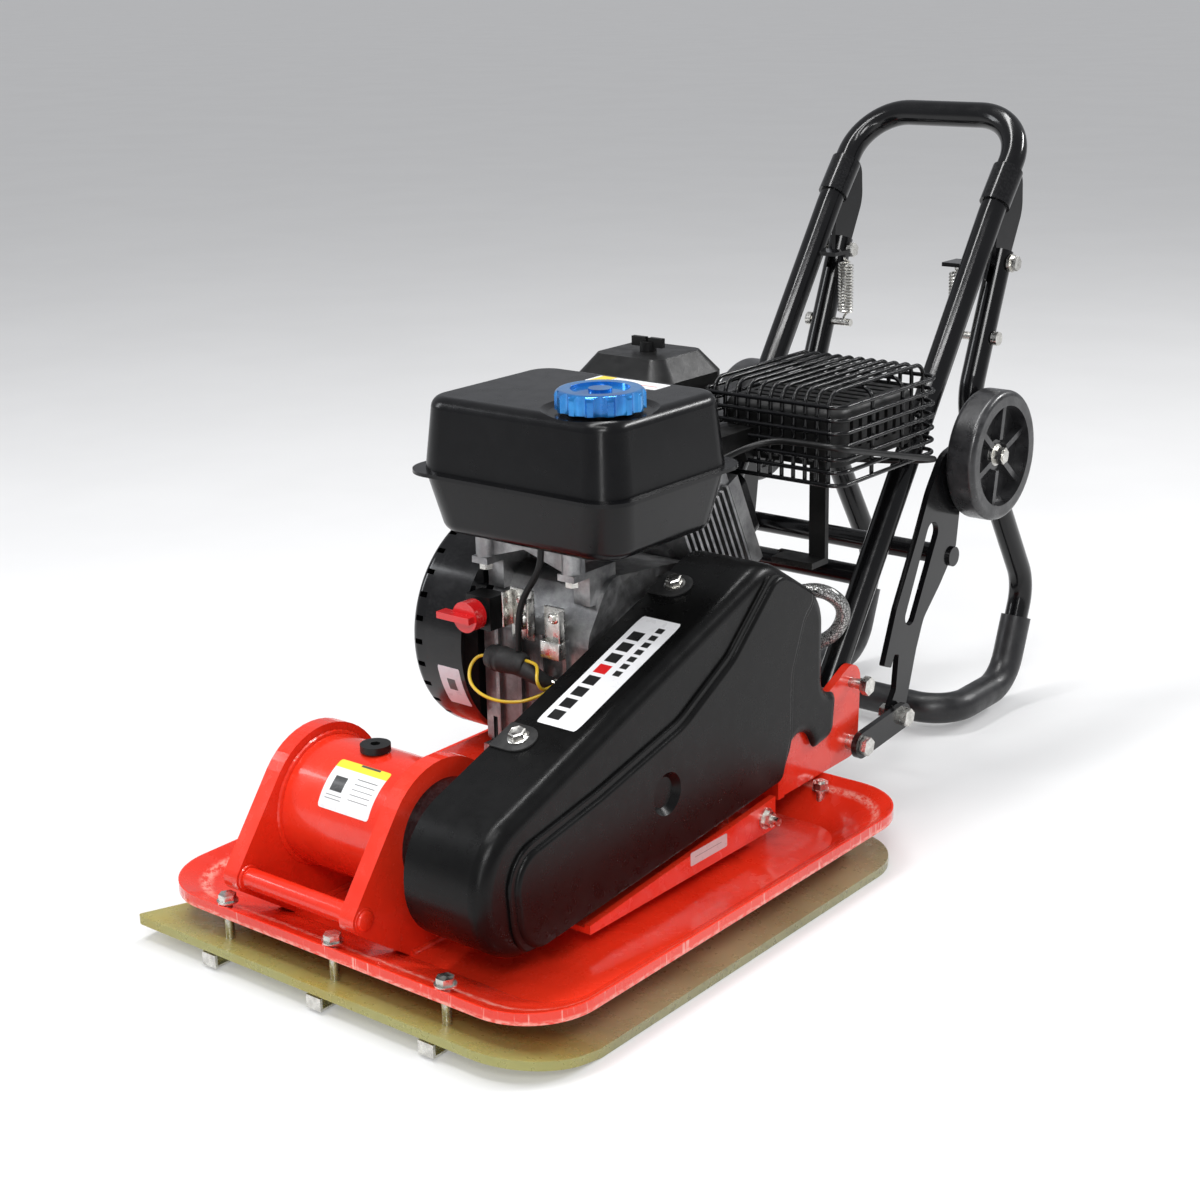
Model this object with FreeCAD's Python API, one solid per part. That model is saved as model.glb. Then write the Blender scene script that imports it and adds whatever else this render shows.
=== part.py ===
"""Petrol plate compactor with paving mat, belt drive, tube handle, rear stand and transport wheels.

Frame: +X towards the belt side, +Y to the rear (handle), +Z up, millimetres.
The origin lies on the ground, in the middle of the base plate.
"""
import FreeCAD
import Part
import os
from math import atan2, cos, degrees, hypot, pi, radians, sin, tan

V = FreeCAD.Vector

# ---------------------------------------------------------------- driving dimensions
# paving mat and base plate
MAT_THICK = 8.0
MAT_HALF_WIDTH = 222.0
MAT_FRONT_Y = -276.0
MAT_REAR_Y = 262.0
MAT_RAMP_Y = -196.0
MAT_FRONT_RISE = 15.0
PLATE_THICK = 10.0
PLATE_HALF_WIDTH = 220.0
PLATE_FRONT_Y = -262.0
PLATE_REAR_Y = 274.0
PLATE_EDGE_Z = 52.0
PLATE_EDGE_HEIGHT = 10.0
FLAT_HALF_WIDTH = 176.0
FLAT_FRONT_Y = -190.0
FLAT_REAR_Y = 236.0
PLATE_TOP = MAT_THICK + PLATE_THICK
# exciter
EXC_Y = -138.0
EXC_Z = 108.0
EXC_TUBE_R = 57.0
EXC_TUBE_WALL = 8.0
EXC_LEFT_X = -123.0
EXC_RIGHT_X = -3.0
BRACKET_THICK = 16.0
BRACKET_R = 67.0
NOSE_Y = -234.0
NOSE_Z = 69.0
NOSE_R = 13.0
LIFT_BAR_R = 9.0
BEARING_R = 36.0
SHAFT_R = 17.45
BEARING_BORE_R = 17.5
# engine and clutch
CRANK_Y = 105.0
CRANK_Z = 208.0
CRANK_R = 12.5
RUN_FIT = 0.05
DECK_TOP = 102.0
DECK_THICK = 8.0
CYL_TILT = 25.0
CYL_X = -22.0
# belt drive
EXC_PULLEY_PITCH_R = 30.0
DRUM_PITCH_R = 42.0
DRUM_CUP_R = 48.0
BELT_HALF_DEPTH = 4.0
BELT_X0 = 64.0
BELT_X1 = 76.0
GROOVE_GAP = 0.5
COVER_X0 = 45.0
COVER_X1 = 132.0
COVER_WALL = 3.0
# fuel tank
TANK_X0 = -126.0
TANK_X1 = 110.0
TANK_Y0 = -30.0
TANK_Y1 = 164.0
TANK_BOTTOM = 320.0
TANK_SEAM = 375.0
TANK_TOP = 440.0
TANK_SKIN = 1.5
CAP_X = 50.0
CAP_Y = 32.0
CAP_R = 38.0
# handle
LEG_X = 95.4
TUBE_R = 13.0
TUBE_WALL = 2.0
EAR_A = (318.0, 130.0)
EAR_B = (316.0, 70.0)
EAR_X0 = 109.5
EAR_X1 = 117.5
KINK = (603.0, 540.0)
HOOP_TOP = (674.0, 628.0)
HOOP_CORNER_R = 54.0
SLEEVE_R = 15.6
HINGE = (622.0, 488.0)
# rear stand
STAND_R = 12.5
STAND_SLEEVE_R = 16.2
SPRING_X = 66.0
SPRING_TOP = (590.0, 488.0)
SPRING_PIN = (593.0, 416.0)
# wheel arms
ARM_PIVOT = (390.0, 77.0)
AXLE = (532.0, 313.0)
ARM_X0 = 118.4
ARM_X1 = 124.4
LINK_X0 = 128.0
LINK_X1 = 134.0
CROSSBAR = (500.0, 212.0)
WHEEL_R = 65.0
WHEEL_X0 = 127.0
WHEEL_X1 = 158.0
AXLE_R = 6.0
BOLT_R = 5.0


# ---------------------------------------------------------------- helpers
def save(shape, name):
    """Write one named piece, a single solid or a group of separate solids."""
    shape.exportStep(os.path.join("parts", name + ".step"))
    print(name, len(shape.Solids), shape.isValid(), round(shape.Volume))


def box(x0, x1, y0, y1, z0, z1):
    return Part.makeBox(x1 - x0, y1 - y0, z1 - z0, V(x0, y0, z0))


def rod_x(x0, x1, y, z, r):
    return Part.makeCylinder(r, x1 - x0, V(x0, y, z), V(1, 0, 0))


def rod_y(y0, y1, x, z, r):
    return Part.makeCylinder(r, y1 - y0, V(x, y0, z), V(0, 1, 0))


def rod_z(z0, z1, x, y, r):
    return Part.makeCylinder(r, z1 - z0, V(x, y, z0), V(0, 0, 1))


def hex_x(x0, x1, y, z, across):
    return prism_x([(y + across / 3 ** 0.5 * cos(radians(60 * k + 15)),
                     z + across / 3 ** 0.5 * sin(radians(60 * k + 15))) for k in range(6)], x0, x1)


def hex_z(z0, z1, x, y, across):
    points = [V(x + across / 3 ** 0.5 * cos(radians(60 * k)), y + across / 3 ** 0.5 * sin(radians(60 * k)), z0)
              for k in range(6)]
    return Part.Face(Part.makePolygon(points + points[:1])).extrude(V(0, 0, z1 - z0))


def hex_y(y0, y1, x, z, across):
    points = [(x + across / 3 ** 0.5 * cos(radians(60 * k)), z + across / 3 ** 0.5 * sin(radians(60 * k)))
              for k in range(6)]
    return prism_y(points, y0, y1)


def prism_x(points, x0, x1):
    """Extrude a (y, z) outline along X."""
    corners = [V(x0, y, z) for y, z in points]
    return Part.Face(Part.makePolygon(corners + corners[:1])).extrude(V(x1 - x0, 0, 0))


def prism_y(points, y0, y1):
    """Extrude an (x, z) outline along Y."""
    corners = [V(x, y0, z) for x, z in points]
    return Part.Face(Part.makePolygon(corners + corners[:1])).extrude(V(0, y1 - y0, 0))


def fuse(shapes):
    whole = shapes[0].multiFuse(shapes[1:]) if len(shapes) > 1 else shapes[0]
    return whole.removeSplitter()


def group(shapes):
    """Separate solids that share one node."""
    return Part.makeCompound([solid for shape in shapes for solid in shape.Solids])


def mirror(shape):
    """The same piece on the other side of the machine."""
    return shape.mirror(V(0, 0, 0), V(1, 0, 0))


def both_sides(shape):
    return group([shape, mirror(shape)])


def hull_points(circles, steps=24):
    """Convex outline around circles given as (y, z, radius)."""
    cloud = []
    for y, z, r in circles:
        count = steps if r > 0 else 1
        cloud += [(y + r * cos(2 * pi * k / count), z + r * sin(2 * pi * k / count)) for k in range(count)]
    cloud = sorted(set((round(y, 4), round(z, 4)) for y, z in cloud))

    def half(points):
        chain = []
        for p in points:
            while len(chain) > 1 and ((chain[-1][0] - chain[-2][0]) * (p[1] - chain[-2][1])
                                      - (chain[-1][1] - chain[-2][1]) * (p[0] - chain[-2][0])) <= 0:
                chain.pop()
            chain.append(p)
        return chain[:-1]
    return half(cloud) + half(cloud[::-1])


def rounded_outline(points, radii, place):
    """Closed wire with an arc at each corner; place() turns a 2-D point into a vector."""
    count = len(points)
    edges = []
    ends = []
    for k in range(count):
        before, here, after = points[k - 1], points[k], points[(k + 1) % count]
        u = (before[0] - here[0], before[1] - here[1])
        w = (after[0] - here[0], after[1] - here[1])
        lu, lw = hypot(*u), hypot(*w)
        u, w = (u[0] / lu, u[1] / lu), (w[0] / lw, w[1] / lw)
        opening = atan2(abs(u[0] * w[1] - u[1] * w[0]), u[0] * w[0] + u[1] * w[1])
        r = radii[k] if isinstance(radii, (list, tuple)) else radii
        reach = r / tan(opening / 2)
        a = (here[0] + u[0] * reach, here[1] + u[1] * reach)
        b = (here[0] + w[0] * reach, here[1] + w[1] * reach)
        bis = (u[0] + w[0], u[1] + w[1])
        lb = hypot(*bis) or 1.0
        far = r / sin(opening / 2) - r
        m = (here[0] + bis[0] / lb * far, here[1] + bis[1] / lb * far)
        ends.append((a, m, b, r))
    for k in range(count):
        a, m, b, r = ends[k]
        if r > 0:
            edges.append(Part.Arc(place(a), place(m), place(b)).toShape())
        nxt = ends[(k + 1) % count][0]
        if hypot(nxt[0] - b[0], nxt[1] - b[1]) > 1e-6:
            edges.append(Part.LineSegment(place(b), place(nxt)).toShape())
    return Part.Wire(edges)


def rounded_rect(x0, x1, y0, y1, r, z):
    return rounded_outline([(x0, y0), (x1, y0), (x1, y1), (x0, y1)], r, lambda p: V(p[0], p[1], z))


def rounded_block(x0, x1, y0, y1, z0, z1, r):
    return Part.Face(rounded_rect(x0, x1, y0, y1, r, z0)).extrude(V(0, 0, z1 - z0))


def outline_x(points, radii, x0, x1):
    """Extrude a rounded (y, z) outline along X."""
    wire = rounded_outline(points, radii, lambda p: V(x0, p[0], p[1]))
    return Part.Face(wire).extrude(V(x1 - x0, 0, 0))


def loft(low, high):
    return Part.makeLoft([low, high], True, True)


def path_wire(points, radii):
    """Straight runs joined by tangent arcs; radii has one value per inner point."""
    edges = []
    start = points[0]
    for k in range(1, len(points) - 1):
        here = points[k]
        u = (points[k - 1] - here).normalize()
        w = (points[k + 1] - here).normalize()
        half = u.getAngle(w) / 2
        reach = radii[k - 1] / tan(half)
        a, b = here + u * reach, here + w * reach
        m = here + (u + w).normalize() * (radii[k - 1] / sin(half) - radii[k - 1])
        if (a - start).Length > 1e-6:
            edges.append(Part.LineSegment(start, a).toShape())
        edges.append(Part.Arc(a, m, b).toShape())
        start = b
    edges.append(Part.LineSegment(start, points[-1]).toShape())
    return Part.Wire(edges)


def tube(points, radii, r):
    """Solid round bar along a path of runs and arcs."""
    wire = path_wire(points, radii)
    first = points[0]
    ring = Part.Wire(Part.makeCircle(r, first, points[1] - first))
    solid = wire.makePipeShell([ring], True, False)
    return solid


CORD_REACH = 0.45


def cord_tube(points, r):
    """Round cord through a route; each arc takes its share of the shorter of its two runs."""
    radii = []
    for before, here, after in zip(points, points[1:], points[2:]):
        half = (before - here).getAngle(after - here) / 2
        radii.append(CORD_REACH * min((before - here).Length, (after - here).Length) * tan(half))
    print("cord", 2 * r, "mm thick, length", round(path_wire(points, radii).Length, 1),
          "radii", [round(radius, 1) for radius in radii])
    return tube(points, radii, r)


def at(x, pair):
    return V(x, pair[0], pair[1])


def toward(start, end, distance):
    """Point at a distance from start on the line to end, as (y, z)."""
    length = hypot(end[0] - start[0], end[1] - start[1])
    return (start[0] + (end[0] - start[0]) * distance / length,
            start[1] + (end[1] - start[1]) * distance / length)


# ---------------------------------------------------------------- base plate and mat
BOLT_ROW_X = (-130.0, -6.0, 116.0)
BOLT_ROW_Y = -252.0
REAR_BOLT_X = (-126.0, 126.0)
REAR_BOLT_Y = 254.0
MAT_BOLT_R = 4.0


def paving_mat():
    profile = [(MAT_REAR_Y, 0), (MAT_RAMP_Y, 0), (MAT_FRONT_Y, MAT_FRONT_RISE),
               (MAT_FRONT_Y, MAT_FRONT_RISE + MAT_THICK), (MAT_RAMP_Y, MAT_THICK), (MAT_REAR_Y, MAT_THICK)]
    sheet = prism_x(profile, -MAT_HALF_WIDTH, MAT_HALF_WIDTH)
    corners = [(-MAT_HALF_WIDTH, MAT_FRONT_Y), (MAT_HALF_WIDTH, MAT_FRONT_Y),
               (MAT_HALF_WIDTH, MAT_REAR_Y), (-MAT_HALF_WIDTH, MAT_REAR_Y)]
    wire = rounded_outline(corners, [6.0, 60.0, 60.0, 60.0], lambda p: V(p[0], p[1], -1))
    sheet = sheet.common(Part.Face(wire).extrude(V(0, 0, 60)))
    holes = [rod_z(-1, 60, x, BOLT_ROW_Y, MAT_BOLT_R) for x in BOLT_ROW_X]
    return sheet.cut(group(holes))


def base_plate():
    band = PLATE_EDGE_Z - PLATE_EDGE_HEIGHT
    outer_low = rounded_rect(-FLAT_HALF_WIDTH, FLAT_HALF_WIDTH, FLAT_FRONT_Y, FLAT_REAR_Y, 46, MAT_THICK)
    outer_mid = rounded_rect(-PLATE_HALF_WIDTH, PLATE_HALF_WIDTH, PLATE_FRONT_Y, PLATE_REAR_Y, 62, band)
    dish = loft(outer_low, outer_mid)
    rim = rounded_block(-PLATE_HALF_WIDTH, PLATE_HALF_WIDTH, PLATE_FRONT_Y, PLATE_REAR_Y, band,
                        PLATE_EDGE_Z, 62)
    inner_low = rounded_rect(-FLAT_HALF_WIDTH + 4, FLAT_HALF_WIDTH - 4, FLAT_FRONT_Y + 4,
                             FLAT_REAR_Y - 3, 43, PLATE_TOP)
    inner_top = rounded_rect(-PLATE_HALF_WIDTH + 1.5, PLATE_HALF_WIDTH - 1.5, PLATE_FRONT_Y + 1.5,
                             PLATE_REAR_Y - 1.5, 60.5, PLATE_EDGE_Z)
    plate = dish.fuse(rim).cut(loft(inner_low, inner_top))
    holes = [rod_z(-1, 60, x, BOLT_ROW_Y, MAT_BOLT_R) for x in BOLT_ROW_X]
    holes += [rod_z(-1, 60, x, REAR_BOLT_Y, MAT_BOLT_R) for x in REAR_BOLT_X]
    return plate.cut(group(holes)).removeSplitter()


def mat_bolts():
    front_seat = PLATE_EDGE_Z + 1.7
    rear_seat = 44.5
    bolts = []
    for x in BOLT_ROW_X:
        bolts.append(fuse([rod_z(6.0, front_seat, x, BOLT_ROW_Y, MAT_BOLT_R),
                           rod_z(front_seat - 1.5, front_seat, x, BOLT_ROW_Y, 9.0),
                           hex_z(front_seat, front_seat + 5.5, x, BOLT_ROW_Y, 13.0)]))
    for x in REAR_BOLT_X:
        bolts.append(fuse([rod_z(24.0, rear_seat + 9, x, REAR_BOLT_Y, MAT_BOLT_R),
                           rod_z(rear_seat - 1.0, rear_seat + 0.5, x, REAR_BOLT_Y, 8.0),
                           hex_z(rear_seat + 0.5, rear_seat + 7.0, x, REAR_BOLT_Y, 14.0)]))
    return group(bolts + mat_clips())


def mat_clips():
    """Bent clips with nuts that hold the mat's front edge."""
    clips = []
    for x in BOLT_ROW_X:
        tongue = box(x - 8, x + 8, MAT_FRONT_Y - 1.0, BOLT_ROW_Y - 5, 2.5, 4.5)
        nose = box(x - 8, x + 8, MAT_FRONT_Y - 1.0, MAT_FRONT_Y + 1.5, 4.5, MAT_FRONT_RISE - 1.0)
        nut = box(x - 7, x + 7, BOLT_ROW_Y - 7, BOLT_ROW_Y + 7, 2.5, 6.0)
        clips.append(fuse([tongue, nose, nut]).cut(rod_z(0, 20, x, BOLT_ROW_Y, MAT_BOLT_R)))
    return clips


# ---------------------------------------------------------------- exciter
def exciter_housing():
    shell = rod_x(EXC_LEFT_X, EXC_RIGHT_X, EXC_Y, EXC_Z, EXC_TUBE_R)
    shell = shell.cut(rod_x(EXC_LEFT_X, EXC_RIGHT_X, EXC_Y, EXC_Z, EXC_TUBE_R - EXC_TUBE_WALL))
    return shell.cut(rod_z(EXC_Z + 40, EXC_Z + 80, -62, EXC_Y, 9.0))


def exciter_bracket(x0):
    """Teardrop end plate: bearing ring, nose for the lifting bar and a foot on the plate."""
    x1 = x0 + BRACKET_THICK
    ring = hull_points([(EXC_Y, EXC_Z, BRACKET_R), (NOSE_Y, NOSE_Z, NOSE_R), (EXC_Y - 47, PLATE_TOP, 0),
                        (EXC_Y + 62, PLATE_TOP, 0)], 48)
    plate = prism_x(ring, x0, x1)
    return plate.cut(rod_x(x0, x1, EXC_Y, EXC_Z, BEARING_R)).cut(rod_x(x0, x1, NOSE_Y, NOSE_Z, LIFT_BAR_R))


def exciter_brackets():
    return group([exciter_bracket(EXC_LEFT_X - BRACKET_THICK), exciter_bracket(EXC_RIGHT_X)])


def lifting_bar():
    return rod_x(EXC_LEFT_X - BRACKET_THICK, EXC_RIGHT_X + BRACKET_THICK, NOSE_Y, NOSE_Z, LIFT_BAR_R)


def oil_plug():
    stem = rod_z(EXC_Z + EXC_TUBE_R - 9, EXC_Z + EXC_TUBE_R + 1, -62, EXC_Y, 8.9)
    head = rod_z(EXC_Z + EXC_TUBE_R + 1, EXC_Z + EXC_TUBE_R + 7, -62, EXC_Y, 13.0)
    socket = hex_z(EXC_Z + EXC_TUBE_R + 2, EXC_Z + EXC_TUBE_R + 7, -62, EXC_Y, 8.0)
    return fuse([stem, head]).cut(socket)


def exciter_bearings():
    rings = []
    for x0 in (EXC_LEFT_X - BRACKET_THICK + 1, EXC_RIGHT_X + 1):
        rings.append(rod_x(x0, x0 + 14, EXC_Y, EXC_Z, BEARING_R).cut(
            rod_x(x0, x0 + 14, EXC_Y, EXC_Z, BEARING_BORE_R)))
    return group(rings)


def bearing_caps():
    """Closed cover on the left, open seal carrier on the belt side."""
    left_x = EXC_LEFT_X - BRACKET_THICK
    left = rod_x(left_x - 9, left_x, EXC_Y, EXC_Z, 44).fuse(rod_x(left_x - 15, left_x - 9, EXC_Y, EXC_Z, 30))
    left = left.cut(rod_x(left_x - 4, left_x, EXC_Y, EXC_Z, 20))
    right_x = EXC_RIGHT_X + BRACKET_THICK
    right = rod_x(right_x, right_x + 16, EXC_Y, EXC_Z, 50).cut(
        rod_x(right_x, right_x + 16, EXC_Y, EXC_Z, SHAFT_R + 1.5))
    return group([left.removeSplitter(), right])


def eccentric_shaft():
    """Shaft with an out-of-balance half disc between the bearings."""
    shaft = rod_x(EXC_LEFT_X - BRACKET_THICK - 2, 44, EXC_Y, EXC_Z, SHAFT_R)
    nose = rod_x(44, 84, EXC_Y, EXC_Z, 12.0)
    half_disc = rod_x(-108, -18, EXC_Y, EXC_Z, 44).cut(
        box(-110, -10, EXC_Y - 60, EXC_Y + 60, EXC_Z, EXC_Z + 60))
    return fuse([shaft, nose, half_disc])


def grooved_pulley(y, z, pitch_r, x0, x1):
    """Flanged pulley with one belt groove."""
    rim = pitch_r + BELT_HALF_DEPTH + 3.0
    floor = pitch_r - BELT_HALF_DEPTH - GROOVE_GAP
    body = rod_x(x0, x1, y, z, rim)
    groove = rod_x(BELT_X0 - GROOVE_GAP, BELT_X1 + GROOVE_GAP, y, z, rim + 1)
    return body.cut(groove.cut(rod_x(x0, x1, y, z, floor)))


def exciter_pulley():
    body = grooved_pulley(EXC_Y, EXC_Z, EXC_PULLEY_PITCH_R, 58, 82)
    return body.cut(rod_x(57, 83, EXC_Y, EXC_Z, 12.0))


def drive_belt():
    """Endless belt round both pulleys: outer loop less inner loop."""
    def loop(offset):
        ends = [(EXC_Y, EXC_Z, EXC_PULLEY_PITCH_R + offset), (CRANK_Y, CRANK_Z, DRUM_PITCH_R + offset)]
        return prism_x(hull_points(ends, 72), BELT_X0, BELT_X1)
    return loop(BELT_HALF_DEPTH).cut(loop(-BELT_HALF_DEPTH))


def clutch_drum():
    """Cup with the belt groove on its hub side, free on the crankshaft until the shoes grip."""
    pulley = grooved_pulley(CRANK_Y, CRANK_Z, DRUM_PITCH_R, 58, 82)
    cup = rod_x(82, 104, CRANK_Y, CRANK_Z, DRUM_CUP_R)
    cup = cup.cut(rod_x(84, 104, CRANK_Y, CRANK_Z, DRUM_CUP_R - 3.5))
    return pulley.fuse(cup).cut(rod_x(57, 105, CRANK_Y, CRANK_Z, CRANK_R + RUN_FIT)).removeSplitter()


def clutch_shoes():
    """Two centrifugal shoes on a hub, with gaps between the shoes."""
    disc = rod_x(85.5, 103, CRANK_Y, CRANK_Z, DRUM_CUP_R - 4.5).cut(rod_x(85, 104, CRANK_Y, CRANK_Z, CRANK_R))
    gap = 4.0
    slots = box(85, 104, CRANK_Y - 60, CRANK_Y - 22, CRANK_Z - gap, CRANK_Z + gap)
    slots = slots.fuse(box(85, 104, CRANK_Y + 22, CRANK_Y + 60, CRANK_Z - gap, CRANK_Z + gap))
    return disc.cut(slots)


# ---------------------------------------------------------------- belt cover
COVER_OUTLINE = [(-220.0, 149.0), (-220.0, 36.0), (190.0, 71.0), (204.0, 98.0), (228.0, 110.0),
                 (244.0, 82.0), (282.0, 88.0), (288.0, 136.0), (262.0, 140.0), (262.0, 232.0), (170.0, 289.0)]
COVER_RADII = [62.0, 60.0, 14.0, 14.0, 14.0, 13.0, 17.0, 13.0, 14.0, 45.0, 50.0]
PANEL_OUTLINE = [(-186.0, 130.0), (-178.0, 43.0), (184.0, 77.0), (197.0, 116.0), (198.0, 176.0),
                 (218.0, 224.0), (246.0, 244.0), (174.0, 276.0), (106.0, 216.0), (34.0, 178.0),
                 (-76.0, 151.0)]
PANEL_RADII = [30.0, 36.0, 12.0, 20.0, 40.0, 24.0, 14.0, 22.0, 60.0, 80.0, 90.0]
SHOULDER_R = 14.0
COVER_TOP_SLOPE = (289.0 - 149.0) / (170.0 + 220.0)
COVER_BOLT_X = COVER_X0 + 20.0
COVER_BOLT_Y = (-100.0, 112.0)
DIMPLE = (9.0, 124.0)


def end_edges(shape, x):
    """Edges that lie in the plane at one X."""
    return [e for e in shape.Edges if abs(e.BoundBox.XMin - x) < 0.05 and abs(e.BoundBox.XMax - x) < 0.05]


def belt_cover():
    """Moulded shell, open towards the engine, with a raised panel and its rim on the outer face."""
    face_x = COVER_X1 - 6
    rim_x = COVER_X1 - 3
    body = outline_x(COVER_OUTLINE, COVER_RADII, COVER_X0, face_x)
    body = body.makeFillet(SHOULDER_R, end_edges(body, face_x))
    rim_wire = rounded_outline(PANEL_OUTLINE, PANEL_RADII, lambda p: V(face_x - 2, p[0], p[1]))
    rim = Part.Face(rim_wire.makeOffset2D(6)).extrude(V(5, 0, 0))
    rim = rim.makeFillet(2.0, end_edges(rim, rim_x))
    panel = outline_x(PANEL_OUTLINE, PANEL_RADII, face_x - 2, COVER_X1)
    panel = panel.makeFillet(4.5, end_edges(panel, COVER_X1))
    reach = face_x - COVER_WALL
    wire = rounded_outline(COVER_OUTLINE, COVER_RADII, lambda p: V(COVER_X0 - 1, p[0], p[1]))
    inner = Part.Face(wire.makeOffset2D(-COVER_WALL)).extrude(V(reach - COVER_X0 + 1, 0, 0))
    inner = inner.makeFillet(SHOULDER_R - COVER_WALL, end_edges(inner, reach))
    outer = body.fuse(rim.common(body_prism())).fuse(panel.common(body_prism()))
    shell = outer.cut(inner)
    dimple = Part.makeCone(13.5, 19.0, 5.5, V(COVER_X1 - 5.5, DIMPLE[0], DIMPLE[1]), V(1, 0, 0))
    ear_slot = box(EAR_X0 - 4, EAR_X1 + 4, 190, 345, 20, 175)
    bolt_holes = group([rod_z(150, 300, COVER_BOLT_X, y, 5.6) for y in COVER_BOLT_Y])
    return shell.cut(dimple).cut(ear_slot).cut(bolt_holes).removeSplitter()


def body_prism():
    """Full-width prism of the cover's outline, inset so that raised details stay inside it."""
    wire = rounded_outline(COVER_OUTLINE, COVER_RADII, lambda p: V(COVER_X0, p[0], p[1]))
    return Part.Face(wire.makeOffset2D(-SHOULDER_R * 0.6)).extrude(V(COVER_X1 - COVER_X0, 0, 0))


def cover_top_z(y):
    """Height of the cover's sloping top strip."""
    return 149.0 + (y + 220.0) * COVER_TOP_SLOPE


def cover_bolts():
    """Flange bolts that hold the cover's top strip, square to its slope."""
    tilt = degrees(atan2(COVER_TOP_SLOPE, 1.0))
    bolts = []
    for y in COVER_BOLT_Y:
        z = cover_top_z(y)
        x = COVER_BOLT_X
        pad = box(COVER_X0 - 6, x, y - 17, y + 17, z + 0.3, z + 2.3).fuse(rod_z(z + 0.3, z + 2.3, x, y, 17.0))
        bolt = fuse([pad, rod_z(z + 2.3, z + 4.0, x, y, 9.5), hex_z(z + 4.0, z + 10.0, x, y, 13.0),
                     rod_z(z - 8.0, z + 4.0, x, y, 3.9)])
        bolts.append(bolt.rotate(V(0, y, z), V(1, 0, 0), tilt))
    return group(bolts)


# ---------------------------------------------------------------- engine deck
MOUNT_SPOTS = [(-98.0, -20.0), (-98.0, 205.0), (86.0, -50.0), (86.0, 150.0)]
MOUNT_TOP = 33.0


def ear_outline():
    """Rear ear that carries the handle bolt (upper) and the link bolt (lower)."""
    return hull_points([(EAR_A[0], EAR_A[1], 17.0), (EAR_B[0], EAR_B[1], 16.0),
                        (196.0, 52.0, 0), (196.0, 94.0, 0)])


def engine_deck():
    """Pressed and welded seat for the engine: raised top, side walls, feet, belt shelf and rear ears."""
    top = rounded_block(-128, 40, -46, 300, DECK_TOP - DECK_THICK, DECK_TOP, 10)
    front_lip = box(-118, 30, -46, -40, 70, DECK_TOP - DECK_THICK)
    wall = [(-36, MOUNT_TOP), (232, MOUNT_TOP), (290, 60), (290, DECK_TOP - DECK_THICK),
            (-36, DECK_TOP - DECK_THICK)]
    left_wall = box(-128, -122, -36, 236, MOUNT_TOP, DECK_TOP - DECK_THICK)
    left_foot = box(-128, -72, -44, 232, MOUNT_TOP, MOUNT_TOP + 6)
    right_wall = prism_x(wall, 34, 40)
    shelf = box(34, 128, -92, 176, MOUNT_TOP, MOUNT_TOP + 5)
    flange = prism_x([(-92, MOUNT_TOP), (176, MOUNT_TOP), (176, 64), (-92, 41)], 122, 128)
    ear_right = prism_x(ear_outline(), EAR_X0, EAR_X1)
    ear_beam = box(34, EAR_X1, 196, 206, 50.5, 76)
    ear_left = mirror(ear_right)
    beam_left = box(-128, -EAR_X1 + 4, 196, 206, 50.5, 94)
    deck = fuse([top, front_lip, left_wall, left_foot, right_wall, shelf, flange, ear_right, ear_beam,
                 ear_left, beam_left])
    bores = [rod_x(-140, 140, EAR_A[0], EAR_A[1], BOLT_R), rod_x(-140, 140, EAR_B[0], EAR_B[1], BOLT_R)]
    bores += [rod_z(20, 60, x, y, 4.0) for x, y in MOUNT_SPOTS]
    bores += [rod_z(80, 110, x, y, 4.0) for x, y in ENGINE_BOLTS]
    bores.append(rod_x(100, 140, 160, 48, 4.0))
    return deck.cut(group(bores))


ENGINE_BOLTS = [(-74.0, 36.0), (-74.0, 196.0), (26.0, 36.0), (26.0, 196.0)]


def rubber_mounts():
    return group([rod_z(PLATE_TOP, MOUNT_TOP, x, y, 19.0).cut(rod_z(MOUNT_TOP - 8, MOUNT_TOP, x, y, 4.0))
                  for x, y in MOUNT_SPOTS])


def deck_bolts():
    """Bolts of the rubber mounts, the engine's feet and the tank, and one through the shelf's flange."""
    bolts = []
    for x, y in MOUNT_SPOTS:
        foot_top = MOUNT_TOP + (6 if x < 0 else 5)
        bolts.append(fuse([rod_z(MOUNT_TOP - 8, foot_top, x, y, 4.0),
                           hex_z(foot_top, foot_top + 6, x, y, 13.0)]))
    for x, y in ENGINE_BOLTS:
        bolts.append(fuse([rod_z(DECK_TOP - 20, DECK_TOP + 8, x, y, 4.0),
                           hex_z(DECK_TOP + 8, DECK_TOP + 14, x, y, 13.0)]))
    bolts.append(fuse([rod_x(112, 143, 160, 48, 4.0), rod_x(128, 130, 160, 48, 10.0),
                       hex_x(130, 136, 160, 48, 13.0)]))
    for x, y in TANK_POSTS:
        bolts.append(fuse([rod_z(TANK_POST_Z - 9, TANK_POST_Z - 2, x, y, 3.0),
                           hex_z(TANK_POST_Z - 8, TANK_POST_Z - 2, x, y, 11.0)]))
    return group(bolts)


# ---------------------------------------------------------------- engine
TANK_POSTS = [(-78.0, 26.0), (20.0, 26.0)]
TANK_POST_Z = 290.0


def tilted(shape):
    """Lay a piece that was built along +Y from the crank axis on the cylinder's axis."""
    return shape.rotate(V(0, CRANK_Y, CRANK_Z), V(1, 0, 0), CYL_TILT)


DRAIN_X, DRAIN_FACE_Y, DRAIN_Z = 16.0, 207.0, 160.0


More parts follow.
